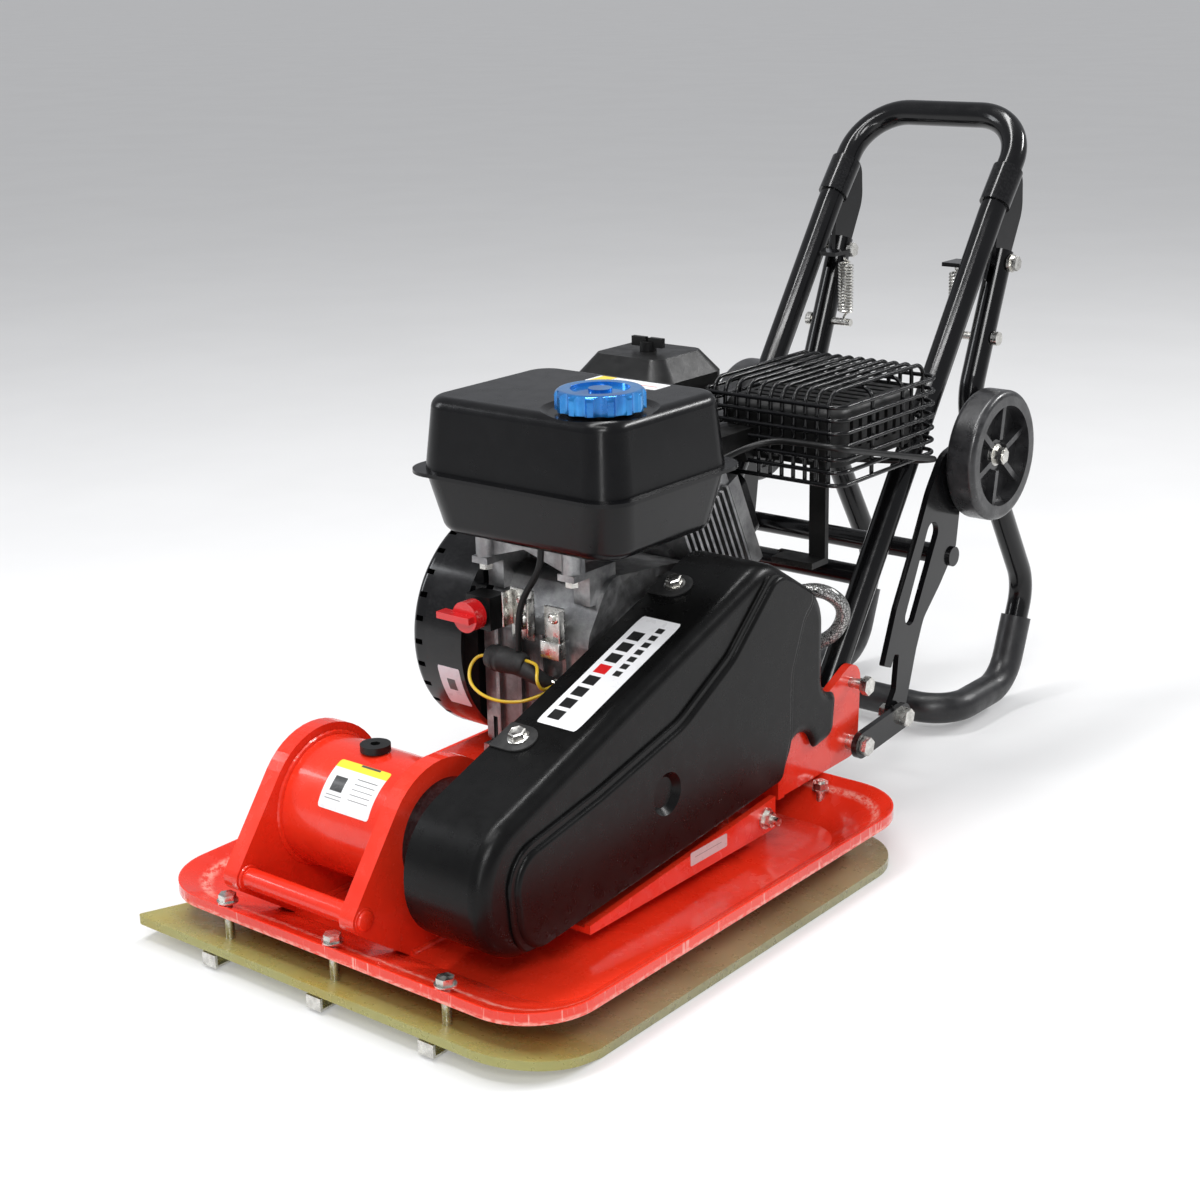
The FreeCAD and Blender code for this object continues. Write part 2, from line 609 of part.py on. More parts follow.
def crankcase():
    """Aluminium crankcase with feet, a bearing boss on the belt side and lugs for the tank."""
    body = outline_x([(28, 116), (186, 116), (214, 190), (176, 272), (60, 284), (28, 236)],
                     [8, 8, 14, 20, 24, 30], -86, 34)
    feet = box(-86, 34, 22, 212, DECK_TOP, 116).cut(box(-60, 12, 20, 220, DECK_TOP, 106))
    boss = rod_x(34, 43, CRANK_Y, CRANK_Z, 46)
    ribs = [box(-70 + 26 * k, -66 + 26 * k, 24, 36, 116, 232) for k in range(4)]
    posts = [rod_z(TANK_POST_Z - 2, TANK_BOTTOM, x, y, 9.0) for x, y in TANK_POSTS]
    arms = [box(x - 9, x + 9, y - 9, 74, 262, TANK_POST_Z + 4).cut(
        box(x - 12, x + 12, y - 12, y + 12, 255, TANK_POST_Z - 2)) for x, y in TANK_POSTS]
    web = prism_y([(-86, TANK_BOTTOM), (28, TANK_BOTTOM), (29, TANK_POST_Z + 4), (11, TANK_POST_Z + 2),
                   (-34, TANK_POST_Z + 16), (-66, TANK_POST_Z + 6), (-87, TANK_POST_Z + 2)], 26, 33)
    drain = hex_y(DRAIN_FACE_Y - 20, DRAIN_FACE_Y, DRAIN_X, DRAIN_Z, 17.0)
    case = fuse([body, feet, boss, web, drain] + ribs + posts + arms)
    chamber = rod_x(-76, 24, CRANK_Y, CRANK_Z, 60)
    bores = rod_x(-90, 50, CRANK_Y, CRANK_Z, CRANK_R + RUN_FIT)
    foot_holes = [rod_z(DECK_TOP - 1, DECK_TOP + 8, x, y, 4.0) for x, y in ENGINE_BOLTS]
    pockets = [hex_z(DECK_TOP + 8, DECK_TOP + 40, x, y, 16.0) for x, y in ENGINE_BOLTS]
    seat = tilted(box(CYL_X - 60, CYL_X + 60, CRANK_Y + 88, CRANK_Y + 200, CRANK_Z - 60, CRANK_Z + 60))
    return case.cut(chamber).cut(bores).cut(group(foot_holes)).cut(group(pockets)).cut(seat)


def cylinder():
    """Finned cylinder and head on the tilted axis."""
    core = box(CYL_X - 36, CYL_X + 36, CRANK_Y + 88, CRANK_Y + 190, CRANK_Z - 36, CRANK_Z + 36)
    fins = [box(CYL_X - 56, CYL_X + 56, CRANK_Y + 94 + 8 * k, CRANK_Y + 97 + 8 * k,
                CRANK_Z - 52, CRANK_Z + 54) for k in range(10)]
    head = box(CYL_X - 52, CYL_X + 52, CRANK_Y + 174, CRANK_Y + 190, CRANK_Z - 48, CRANK_Z + 50)
    port = box(CYL_X + 10, CYL_X + 50, CRANK_Y + 150, CRANK_Y + 178, CRANK_Z + 48, CRANK_Z + 66)
    return tilted(fuse([core, head, port] + fins))


def rocker_cover():
    cap = rounded_block(CYL_X - 40, CYL_X + 40, CRANK_Z - 38, CRANK_Z + 34, 0, 22, 12)
    cap = cap.rotate(V(0, 0, 0), V(1, 0, 0), 90).translate(V(0, CRANK_Y + 212, 0))
    return tilted(cap)


def crankshaft():
    """Main shaft with one throw and its counterweights; the throw points forward."""
    left = rod_x(-132, -62, CRANK_Y, CRANK_Z, CRANK_R)
    right = rod_x(2, 110, CRANK_Y, CRANK_Z, CRANK_R)
    webs = [prism_x(hull_points([(CRANK_Y, CRANK_Z, 18), (CRANK_Y - 30, CRANK_Z, 14),
                                 (CRANK_Y + 24, CRANK_Z, 30)]), x, x + 14) for x in (-62, -12)]
    pin = rod_x(-48, -12, CRANK_Y - 30, CRANK_Z, 13)
    return fuse([left, right, pin] + webs)


def flywheel():
    disc = rod_x(-124, -102, CRANK_Y, CRANK_Z, 84).cut(rod_x(-125, -114, CRANK_Y, CRANK_Z, 66))
    blades = []
    for k in range(12):
        blade = box(-136, -124, CRANK_Y + 60, CRANK_Y + 82, CRANK_Z - 1.5, CRANK_Z + 1.5)
        blades.append(blade.rotate(V(0, CRANK_Y, CRANK_Z), V(1, 0, 0), 30 * k))
    return fuse([disc] + blades).cut(rod_x(-137, -100, CRANK_Y, CRANK_Z, CRANK_R))


def fan_housing():
    """Cup round the flywheel, with a duct that leads the air up to the cylinder fins."""
    cup = rod_x(-134, -90, CRANK_Y, CRANK_Z, 104).cut(rod_x(-134, -93, CRANK_Y, CRANK_Z, 101))
    cup = cup.cut(rod_x(-94, -88, CRANK_Y, CRANK_Z, 50))
    duct = prism_x([(150, 282), (190, 312), (212, 252), (196, 258)], -134, -90)
    duct = duct.cut(rod_x(-140, -80, CRANK_Y, CRANK_Z, 103))
    duct = duct.cut(prism_x([(154, 280), (188, 306), (205, 258), (194, 262)], -131, -80))
    return cup.fuse(duct).removeSplitter()


GRIP_X = -142.0
GRIP_Y = CRANK_Y + 108.0
GRIP_Z = CRANK_Z + 10.0
ROPE_LENGTH = 62.0


def recoil_cover():
    """Domed starter cover with a ring of cooling slots and the rope's outlet."""
    dish = rod_x(-152, -134, CRANK_Y, CRANK_Z, 104)
    dish = dish.makeFillet(9, [e for e in dish.Edges if abs(e.BoundBox.XMin + 152) < 0.1
                               and abs(e.BoundBox.XMax + 152) < 0.1])
    dish = dish.cut(rod_x(-149, -134, CRANK_Y, CRANK_Z, 101))
    dome = rod_x(-162, -149, CRANK_Y, CRANK_Z, 58).cut(rod_x(-159, -148, CRANK_Y, CRANK_Z, 55))
    whole = dish.fuse(dome)
    slots = []
    for k in range(30):
        slot = box(-146, -137, CRANK_Y - 2.5, CRANK_Y + 2.5, CRANK_Z + 95, CRANK_Z + 110)
        slots.append(slot.rotate(V(0, CRANK_Y, CRANK_Z), V(1, 0, 0), 12 * k + 6))
    for k in range(16):
        slot = box(-155, -147, CRANK_Y - 3, CRANK_Y + 3, CRANK_Z + 66, CRANK_Z + 88)
        slots.append(slot.rotate(V(0, CRANK_Y, CRANK_Z), V(1, 0, 0), 22.5 * k))
    slots.append(rod_y(CRANK_Y, GRIP_Y + 2, GRIP_X, GRIP_Z, 3.5))
    return whole.cut(group(slots)).removeSplitter()


def starter_grip():
    """T-shaped grip outside the cover with the rope's first length inside it."""
    bar = rod_z(GRIP_Z - 30, GRIP_Z + 30, GRIP_X, GRIP_Y + 6, 8.0)
    bar = bar.makeFillet(5, bar.Edges[:1] + bar.Edges[2:])
    neck = rod_y(GRIP_Y - 3.5, GRIP_Y, GRIP_X, GRIP_Z, 7.0)
    rope = rod_y(GRIP_Y - ROPE_LENGTH, GRIP_Y + 4, GRIP_X, GRIP_Z, 2.2)
    return fuse([bar, neck, rope])


# ---------------------------------------------------------------- fuel tank
def tank_flange(z0, z1):
    return rounded_block(TANK_X0, TANK_X1, TANK_Y0, TANK_Y1, z0, z1, 30)


def tank_body(z0, z1, inset0, inset1, r0, r1, skin):
    def ring(inset, r, z):
        d = inset + skin
        return rounded_rect(TANK_X0 + d, TANK_X1 - d, TANK_Y0 + d, TANK_Y1 - d, r - skin, z)
    return loft(ring(inset0, r0, z0), ring(inset1, r1, z1))


def tank_upper():
    """Pressed upper half with the filler neck and the shallow dish round it."""
    z0 = TANK_SEAM
    outer = tank_body(z0, TANK_TOP, 8, 15, 30, 26, 0)
    outer = outer.makeFillet(11, [e for e in outer.Edges if e.BoundBox.ZMin > TANK_TOP - 0.1])
    inner = tank_body(z0 - 0.1, TANK_TOP - 6, 8, 15, 30, 26, TANK_SKIN * 2)
    dish = Part.makeCone(50, 44, 3, V(CAP_X, CAP_Y, TANK_TOP), V(0, 0, -1))
    dents = [Part.makeCone(3, 16, 20, V(-84 + 36 * k, TANK_Y0 + 8, TANK_TOP - 16), V(0, -0.25, 1))
             for k in range(4)]
    shell = outer.cut(dish).cut(group(dents)).cut(inner)
    shell = shell.fuse(tank_flange(z0, z0 + 1.6).cut(tank_body(z0 - 1, z0 + 3, 8, 8, 30, 30, TANK_SKIN * 2)))
    neck = rod_z(TANK_TOP - 12, TANK_TOP + 6, CAP_X, CAP_Y, 24)
    return shell.fuse(neck).cut(rod_z(TANK_TOP - 30, TANK_TOP + 7, CAP_X, CAP_Y, 21)).removeSplitter()


def tank_lower():
    z1 = TANK_SEAM
    outer = tank_body(TANK_BOTTOM, z1, 18, 8, 34, 30, 0)
    outer = outer.makeFillet(12, [e for e in outer.Edges if e.BoundBox.ZMax < TANK_BOTTOM + 0.1])
    inner = tank_body(TANK_BOTTOM + 3, z1 + 0.1, 18, 8, 34, 30, TANK_SKIN * 2)
    shell = outer.cut(inner)
    return shell.fuse(tank_flange(z1 - 1.6, z1).cut(tank_body(z1 - 3, z1 + 1, 8, 8, 30, 30, TANK_SKIN * 2)))


def fuel_cap():
    """Scalloped cap over the filler neck."""
    base = TANK_TOP
    cap = rod_z(base, base + 17, CAP_X, CAP_Y, CAP_R)
    cap = cap.makeFillet(5, [e for e in cap.Edges if e.BoundBox.ZMin > base + 16])
    flutes = []
    for k in range(14):
        a = 2 * pi * k / 14
        flutes.append(rod_z(base - 1, base + 18, CAP_X + 43 * cos(a), CAP_Y + 43 * sin(a), 8.0))
    cap = cap.cut(group(flutes))
    dish = rod_z(base + 14, base + 18, CAP_X, CAP_Y, 25).cut(rod_z(base + 13, base + 18, CAP_X, CAP_Y, 10))
    return cap.cut(dish).cut(rod_z(base - 1, base + 9, CAP_X, CAP_Y, 24.5))


# ---------------------------------------------------------------- air cleaner, carburettor, muffler
AIR_X0, AIR_X1 = -141.0, -31.0
AIR_Y0, AIR_Y1 = 222.0, 327.0
AIR_BASE_Z = 341.0
AIR_SPLIT_Z = 379.0
AIR_TOP_Z = 435.0
WING_X, WING_Y = -86.0, 274.0


def air_cleaner_base():
    tray = rounded_block(AIR_X0 + 4, AIR_X1 - 4, AIR_Y0 + 4, AIR_Y1 - 4, AIR_BASE_Z, AIR_SPLIT_Z, 18)
    tray = tray.cut(rounded_block(AIR_X0 + 7, AIR_X1 - 7, AIR_Y0 + 7, AIR_Y1 - 7, AIR_BASE_Z + 3,
                                  AIR_SPLIT_Z, 15))
    stud = rod_z(AIR_BASE_Z + 3, AIR_TOP_Z + 8, WING_X, WING_Y, 3.0)
    elbow = rounded_block(-112, -84, 227, 251, 326, AIR_BASE_Z, 6)
    return fuse([tray, stud, elbow])


def filter_element():
    """Pleated ring between the tray and the lid."""
    body = rounded_block(AIR_X0 + 14, AIR_X1 - 14, AIR_Y0 + 14, AIR_Y1 - 14,
                         AIR_BASE_Z + 3, AIR_TOP_Z - 23, 14)
    return body.cut(rod_z(AIR_BASE_Z, AIR_TOP_Z, WING_X, WING_Y, 20.0))


def air_cleaner_lid():
    skirt = rounded_block(AIR_X0, AIR_X1, AIR_Y0, AIR_Y1, AIR_SPLIT_Z, AIR_TOP_Z - 20, 20)
    crown = loft(rounded_rect(AIR_X0, AIR_X1, AIR_Y0, AIR_Y1, 20, AIR_TOP_Z - 20),
                 rounded_rect(AIR_X0 + 16, AIR_X1 - 16, AIR_Y0 + 16, AIR_Y1 - 16, 12, AIR_TOP_Z))
    lid = skirt.fuse(crown)
    hollow = rounded_block(AIR_X0 + 3, AIR_X1 - 3, AIR_Y0 + 3, AIR_Y1 - 3, AIR_SPLIT_Z, AIR_TOP_Z - 22, 17)
    return lid.cut(hollow).cut(rod_z(AIR_TOP_Z - 30, AIR_TOP_Z + 1, WING_X, WING_Y, 3.2)).removeSplitter()


def wing_nut():
    hub = rod_z(AIR_TOP_Z + 0.3, AIR_TOP_Z + 9, WING_X, WING_Y, 8.0)
    wings = box(WING_X - 18, WING_X + 18, WING_Y - 2.5, WING_Y + 2.5, AIR_TOP_Z + 4, AIR_TOP_Z + 13)
    return hub.fuse(wings).cut(rod_z(AIR_TOP_Z, AIR_TOP_Z + 14, WING_X, WING_Y, 3.05)).removeSplitter()


def carburettor():
    """Body between the air cleaner's elbow and the cylinder head, with its float bowl."""
    body = rounded_block(-112, -80, 206, 246, 296, 326, 5)
    bowl = rod_z(268, 296, -96, 226, 15)
    return fuse([body, bowl])


LEVER_X = -113.0


def side_lever(y, z, tip_y, tip_z, thick):
    """Flat lever on a stub pin at the carburettor's outer side."""
    blade = prism_x(hull_points([(y, z, 6.0), (tip_y, tip_z, 5.0)]), LEVER_X - thick, LEVER_X)
    knob = rod_x(LEVER_X - thick - 8, LEVER_X - thick, tip_y, tip_z, 5.0)
    return fuse([blade, knob])


def throttle_lever():
    return side_lever(214, 318, 190, 340, 3.0)


def choke_lever():
    return side_lever(238, 318, 264, 322, 3.0)


def fuel_tap_lever():
    return side_lever(226, 300, 250, 296, 3.0)


MUF_X0, MUF_X1 = -12.0, 117.0
MUF_Y0, MUF_Y1 = 288.0, 428.0
MUF_Z0, MUF_Z1 = 344.0, 398.0


def muffler():
    """Pressed box with louvres, its exhaust pipe and a bracket down to the cylinder head."""
    can = rounded_block(MUF_X0, MUF_X1, MUF_Y0, MUF_Y1, MUF_Z0, MUF_Z1, 16)
    can = can.makeFillet(9, [e for e in can.Edges if e.BoundBox.ZMin > MUF_Z1 - 0.1])
    slots = [box(MUF_X0 + 12, MUF_X1 - 12, MUF_Y0 + 22 + 15 * k, MUF_Y0 + 28 + 15 * k, MUF_Z1 - 5, MUF_Z1 + 1)
             for k in range(8)]
    side_slots = [box(MUF_X1 - 4, MUF_X1 + 1, MUF_Y0 + 22 + 15 * k, MUF_Y0 + 28 + 15 * k, MUF_Z0 + 14,
                      MUF_Z1 - 14) for k in range(8)]
    pipe = box(-6, 26, 252, MUF_Y0 + 1, 340, 372)
    down = box(-6, 26, 226, 252, 326, 372)
    bracket = box(66, 84, 322, 328, 240, MUF_Z0)
    foot = box(31, 84, 300, 328, 240, 246)
    whole = fuse([can, pipe, down, bracket, foot])
    return whole.cut(group(slots)).cut(group(side_slots)).cut(tilted(
        box(CYL_X - 60, CYL_X + 60, CRANK_Y, CRANK_Y + 213, CRANK_Z - 60, CRANK_Z + 67)))


GUARD_X0, GUARD_X1 = -26.0, 130.0
GUARD_Y0, GUARD_Y1 = 274.0, 447.0
GUARD_Z0, GUARD_Z1 = 332.0, 416.0
WIRE_R = 2.0


WIRE_STEP = 2 * WIRE_R - 0.1           # axes of two wires welded where they cross
RING_COUNT, RING_PITCH = 7, 12.0
HOOP_COUNT, HOOP_PITCH, HOOP_START = 11, 12.7, 14.0
SMALLEST_WIRE = 300.0                  # mm3, shorter offcuts are left out


def muffler_guard():
    """Cage of round wire: rings round the sides, hoops over the top and two cross hoops inside."""
    wires = []
    for k in range(RING_COUNT):
        wire = rounded_rect(GUARD_X0, GUARD_X1, GUARD_Y0, GUARD_Y1, 14, GUARD_Z0 + RING_PITCH * k)
        edge = wire.Edges[1]
        start = edge.valueAt(edge.FirstParameter)
        ring = Part.Wire(Part.makeCircle(WIRE_R, start, edge.tangentAt(edge.FirstParameter)))
        wires.append(wire.makePipeShell([ring], True, False))
    inner0, inner1 = GUARD_Y0 + WIRE_STEP, GUARD_Y1 - WIRE_STEP
    for k in range(HOOP_COUNT):
        x = GUARD_X0 + HOOP_START + HOOP_PITCH * k
        points = [V(x, inner0, GUARD_Z0), V(x, inner0, GUARD_Z1), V(x, inner1, GUARD_Z1),
                  V(x, inner1, GUARD_Z0)]
        wires.append(tube(points, [14, 14], WIRE_R))
    low_x, high_x, under = GUARD_X0 + WIRE_STEP, GUARD_X1 - WIRE_STEP, GUARD_Z1 - WIRE_STEP
    for y in (GUARD_Y0 + 60, GUARD_Y1 - 60):
        points = [V(low_x, y, GUARD_Z0), V(low_x, y, under), V(high_x, y, under), V(high_x, y, GUARD_Z0)]
        wires.append(tube(points, [12, 12], WIRE_R))
    pipe_gap = box(-10, 30, GUARD_Y0 - 5, GUARD_Y0 + 8, GUARD_Z0 + 4, 376)
    leg_gap = group([tube([at(side * LEG_X, EAR_A), at(side * LEG_X, KINK)], [], TUBE_R + 3.0)
                     for side in (1, -1)])
    kept = []
    for wire in wires:
        kept += [piece for piece in wire.cut(pipe_gap).cut(leg_gap).Solids if piece.Volume > SMALLEST_WIRE]
    stay_y = inner0 + WIRE_R - 0.1
    stays = [box(x - 7, x + 7, stay_y, MUF_Y0, 350, 353) for x in (52.0, 90.0)]
    return group(kept + stays)


# ---------------------------------------------------------------- switch, wiring, hose
SWITCH_X = -78.0


def switch_box():
    """Switch body on the crankcase's front left corner."""
    return box(-86, -58, 6, 28, 232, 262).fuse(rod_y(2, 6, -72, 247, 13.0)).removeSplitter()


def switch_knob():
    """Rotary on-off knob with a pointer wing."""
    disc = rod_y(-12, 1.5, -72, 247, 14.0)
    wing = box(-98, -60, -20, -8, 244, 250)
    return disc.fuse(wing).removeSplitter()


def ignition_boot():
    """Ignition module: two plated brackets and the black moulded body with its lead."""
    plate = box(-48, -18, 20, 24, 222, 272)
    ear = box(-8, 14, 20, 24, 216, 262)
    body = rod_x(-62, -20, 8, 208, 12.0)
    tie = box(-40, -34, 6, 26, 208, 226)
    return group([fuse([plate, body, tie]), ear])


def wiring_loom():
    """Two thin leads from the module to an earth nut on the crankcase, and its thick lead up to the tank."""
    earth_lead = [V(-62, 8, 208), V(-74, 8, 208), V(-80, 0, 197), V(-72, -9, 185), V(-52, -13, 178),
                  V(-28, -11, 177), V(-10, 2, 179), V(-1, 22, 186)]
    short_lead = [V(-20, 8, 212), V(-9, 8, 212), V(1, -1, 211), V(6, -9, 204), V(7, -4, 194), V(4, 8, 191),
                  V(3, 22, 191)]
    coil_lead = [V(-28, 8, 220), V(-28, 8, 244), V(-23, 9.5, 268), V(-9, 13, 290), V(-4, 14, 305),
                 V(-4, 14, TANK_BOTTOM)]
    nut = hex_y(22, 28, 1, 189, 10.0)
    return group([cord_tube(earth_lead, 1.5), cord_tube(short_lead, 1.5), cord_tube(coil_lead, 3.0), nut])


def oil_drain_hose():
    """Braided hose from the crankcase's drain, in a tight loop behind the cover, to the deck's rear."""
    return cord_tube([V(DRAIN_X, DRAIN_FACE_Y, DRAIN_Z), V(16, 256, 160), V(50, 286, 206), V(94, 294, 228),
                      V(112, 320, 204), V(100, 314, 170), V(58, 290, 157), V(14, 278, 148),
                      V(14, 278, DECK_TOP)], 7.0)


def throttle_cable():
    """Sheathed control cable, held taut along the guard's side and let round its two corners."""
    return cord_tube([V(36, 176, 350), V(36, 232, 358), V(62, 262, 370), V(100, 262, 371), V(136.5, 262, 371),
                      V(136.5, 298, 361.5), V(136.5, 410, 333), V(136.5, 438, 326), V(117, 432, 323),
                      V(84, 420, 321), V(44, 402, 322)], 3.0)


# ---------------------------------------------------------------- handle
def handle_path(x):
    return [V(x, EAR_A[0] - 8, EAR_A[1] - 11.4), at(x, KINK), at(x, HOOP_TOP)]


def handle_tube():
    """One bent tube: both legs, the hoop, and a cross tube low between the legs."""
    right = handle_path(LEG_X)
    left = handle_path(-LEG_X)
    points = right + left[::-1]
    radii = [150.0, HOOP_CORNER_R, HOOP_CORNER_R, 150.0]
    outer = tube(points, radii, TUBE_R)
    inner = tube(points, radii, TUBE_R - TUBE_WALL)
    brace_y, brace_z = toward(EAR_A, KINK, 105.0)
    brace = rod_x(-LEG_X, LEG_X, brace_y, brace_z, 10.0)
    legs = outer.fuse(brace).cut(inner)
    bores = rod_x(-140, 140, EAR_A[0], EAR_A[1], BOLT_R)
    return legs.cut(bores).removeSplitter()


def handle_sleeves():
    """Sleeves welded round the tube, each with a curved fin down to the stand's hinge."""
    start = toward(KINK, HOOP_TOP, 9.0)
    end = toward(KINK, HOOP_TOP, 50.0)
    axis = V(0, end[0] - start[0], end[1] - start[1])
    ring = Part.makeCylinder(SLEEVE_R, axis.Length, at(LEG_X, start), axis)
    corners = [(611.0, 562.0), (642.0, 592.0), (662.0, 570.0), (664.0, 536.0), (634.0, 478.0), (611.0, 482.0)]
    fin = outline_x(corners, [3.0, 6.0, 20.0, 40.0, 10.0, 9.0], LEG_X - 2.5, LEG_X + 2.5)
    leg = Part.makeCylinder(TUBE_R, axis.Length + 60, at(LEG_X, toward(KINK, HOOP_TOP, -10.0)), axis)
    whole = ring.fuse(fin).cut(leg)
    whole = whole.cut(tube([at(LEG_X, toward(KINK, EAR_A, 100.0)), at(LEG_X, KINK), at(LEG_X, HOOP_TOP)],
                           [150.0], TUBE_R))
    whole = whole.cut(rod_x(80, 112, HINGE[0], HINGE[1], BOLT_R))
    return group([both_sides(whole), spring_hooks()])


def spring_hooks():
    """Lugs on the legs that hold the springs' upper ends."""
    lug = box(SPRING_X - 3, LEG_X, SPRING_TOP[0] - 26, SPRING_TOP[0] - 2, SPRING_TOP[1] + 1, SPRING_TOP[1] + 5)
    eye = box(SPRING_X - 3, SPRING_X + 3, SPRING_TOP[0] - 6, SPRING_TOP[0] + 3, SPRING_TOP[1] - 2,
              SPRING_TOP[1] + 5)
    leg = tube([at(LEG_X, EAR_A), at(LEG_X, KINK)], [], TUBE_R)
    return both_sides(fuse([lug, eye]).cut(leg))


def hinge_bolts():
    shank = rod_x(LEG_X - 20, LEG_X + 22, HINGE[0], HINGE[1], BOLT_R - RUN_FIT)
    head = rod_x(LEG_X + 13, LEG_X + 16, HINGE[0], HINGE[1], 9.0)
    nut = hex_x(LEG_X - 20, LEG_X - 13.2, HINGE[0], HINGE[1], 13.0)
    cap = hex_x(LEG_X + 16, LEG_X + 22, HINGE[0], HINGE[1], 13.0)
    return both_sides(fuse([shank, head, nut, cap]))


def stand_path():
    top = toward(HINGE, SPRING_PIN, -12.0)
    return [top, (566.0, 349.0), (704.0, 128.0), (664.0, 24.0), (545.0, 24.0)]


def stand_points(side):
    return [at(side * LEG_X, p) for p in stand_path()]


STAND_RADII = [60.0, 50.0, 45.0, 40.0, 40.0, 45.0, 50.0, 60.0]


def stand_tube():
    """Bent tube that hangs from the hinge bolts and turns forward along the ground."""
    points = stand_points(1) + stand_points(-1)[::-1]
    body = tube(points, STAND_RADII, STAND_R).cut(tube(points, STAND_RADII, STAND_R - TUBE_WALL))
    for side in (1, -1):
        x = side * LEG_X
        slot = box(x - 2.9, x + 2.9, HINGE[0] - 40, HINGE[0] + 40, HINGE[1] - 17, HINGE[1] + 30)
        body = body.cut(slot)
    bores = [rod_x(-112, 112, HINGE[0], HINGE[1], BOLT_R), rod_x(-130, 130, SPRING_PIN[0], SPRING_PIN[1], 4.0)]
    return body.cut(group(bores))


def stand_sleeve():
    """Rubber sleeve over the stand's lower bends and cross tube."""
    start = toward((664.0, 24.0), (704.0, 128.0), 74.0)
    half = [start, (664.0, 24.0), (545.0, 24.0)]
    points = [at(LEG_X, p) for p in half] + [at(-LEG_X, p) for p in half[::-1]]
    radii = STAND_RADII[2:6]
    return tube(points, radii, STAND_SLEEVE_R).cut(tube(points, radii, STAND_R))


def spring_pins():
    pin = rod_x(SPRING_X - 5, LEG_X + 15, SPRING_PIN[0], SPRING_PIN[1], 4.0)
    dome = rod_x(LEG_X + 12.8, LEG_X + 19, SPRING_PIN[0], SPRING_PIN[1], 7.0)
    return both_sides(fuse([pin, dome]))


def stand_springs():
    """Tension springs between the lugs and the pins, as plain closed forms."""
    top, low = SPRING_TOP[1] - 3.0, SPRING_PIN[1] + 5.0
    body = rod_z(low + 4, top - 4, SPRING_X, SPRING_TOP[0], 7.5)
    hooks = rod_z(low, top, SPRING_X, SPRING_TOP[0], 1.5)
    return both_sides(fuse([body, hooks]))


# ---------------------------------------------------------------- links, arms and wheels
ARM_OUTLINE = [(377.0, 84.0), (390.0, 102.0), (394.0, 138.0), (386.0, 140.0), (380.0, 128.0),
               (367.0, 133.0), (388.0, 185.0), (426.0, 251.0), (446.0, 290.0), (470.0, 322.0),
               (528.0, 334.0), (536.0, 294.0), (506.0, 262.0), (500.0, 222.0), (470.0, 190.0),
               (440.0, 163.0), (427.0, 134.0), (408.0, 76.0), (390.0, 63.0)]
ARM_RADII = [10.0, 8.0, 2.0, 2.0, 2.0, 2.0, 40.0, 30.0, 60.0, 30.0, 18.0, 14.0, 20.0, 10.0, 30.0, 30.0,
             40.0, 10.0, 12.0]
SLOT_LOW = (414.0, 172.0, 9.5)
SLOT_HIGH = (453.0, 247.0, 11.0)


def wheel_arms():
    """Two flat arms joined by the cross bar."""
    blade = outline_x(ARM_OUTLINE, ARM_RADII, ARM_X0, ARM_X1)
    blade = blade.cut(prism_x(hull_points([SLOT_LOW, SLOT_HIGH], 32), ARM_X0, ARM_X1))
    blade = blade.cut(rod_x(ARM_X0, ARM_X1, ARM_PIVOT[0], ARM_PIVOT[1], BOLT_R))
    blade = blade.cut(rod_x(ARM_X0, ARM_X1, AXLE[0], AXLE[1], AXLE_R))
    bar = rod_x(-ARM_X1 - 3, ARM_X1 + 3, CROSSBAR[0] - 8, CROSSBAR[1] + 2, 10.0)
    return fuse([blade, mirror(blade), bar])


def links():
    """Short straps from the deck's ears to the arms."""
    strap = prism_x(hull_points([(EAR_B[0], EAR_B[1], 13.0), (ARM_PIVOT[0], ARM_PIVOT[1], 13.0)], 32),
                    LINK_X0, LINK_X1)
    strap = strap.cut(rod_x(LINK_X0, LINK_X1, EAR_B[0], EAR_B[1], BOLT_R))
    strap = strap.cut(rod_x(LINK_X0, LINK_X1, ARM_PIVOT[0], ARM_PIVOT[1], BOLT_R))
    return both_sides(strap)


def link_pins():
    """Bolts that join links and arms."""
    shank = rod_x(ARM_X0 - 9, LINK_X1 + 7, ARM_PIVOT[0], ARM_PIVOT[1], BOLT_R - RUN_FIT)
    spacer = rod_x(ARM_X1 + 0.4, LINK_X0, ARM_PIVOT[0], ARM_PIVOT[1], 8.0)
    head = hex_x(LINK_X1, LINK_X1 + 7, ARM_PIVOT[0], ARM_PIVOT[1], 16.0)
    nut = hex_x(ARM_X0 - 9, ARM_X0 - 0.4, ARM_PIVOT[0], ARM_PIVOT[1], 14.0)
    return both_sides(fuse([shank, spacer, head, nut]))


def ear_bolts():
    """Upper bolts hold the handle and stand out as catches; lower bolts carry the links."""
    upper = fuse([rod_x(LEG_X - 18, 132, EAR_A[0], EAR_A[1], BOLT_R),
                  rod_x(LEG_X + TUBE_R + 0.2, EAR_X0, EAR_A[0], EAR_A[1], 9.0),
                  hex_x(132, 139, EAR_A[0], EAR_A[1], 16.0)])
    lower = fuse([rod_x(EAR_X0 - 10, LINK_X1 + 1, EAR_B[0], EAR_B[1], BOLT_R - RUN_FIT),
                  rod_x(EAR_X1, LINK_X0 - 0.4, EAR_B[0], EAR_B[1], 7.5),
                  hex_x(LINK_X1 + 0.4, LINK_X1 + 7, EAR_B[0], EAR_B[1], 16.0),
                  hex_x(EAR_X0 - 8, EAR_X0, EAR_B[0], EAR_B[1], 14.0)])
    return group([both_sides(upper), both_sides(lower)])


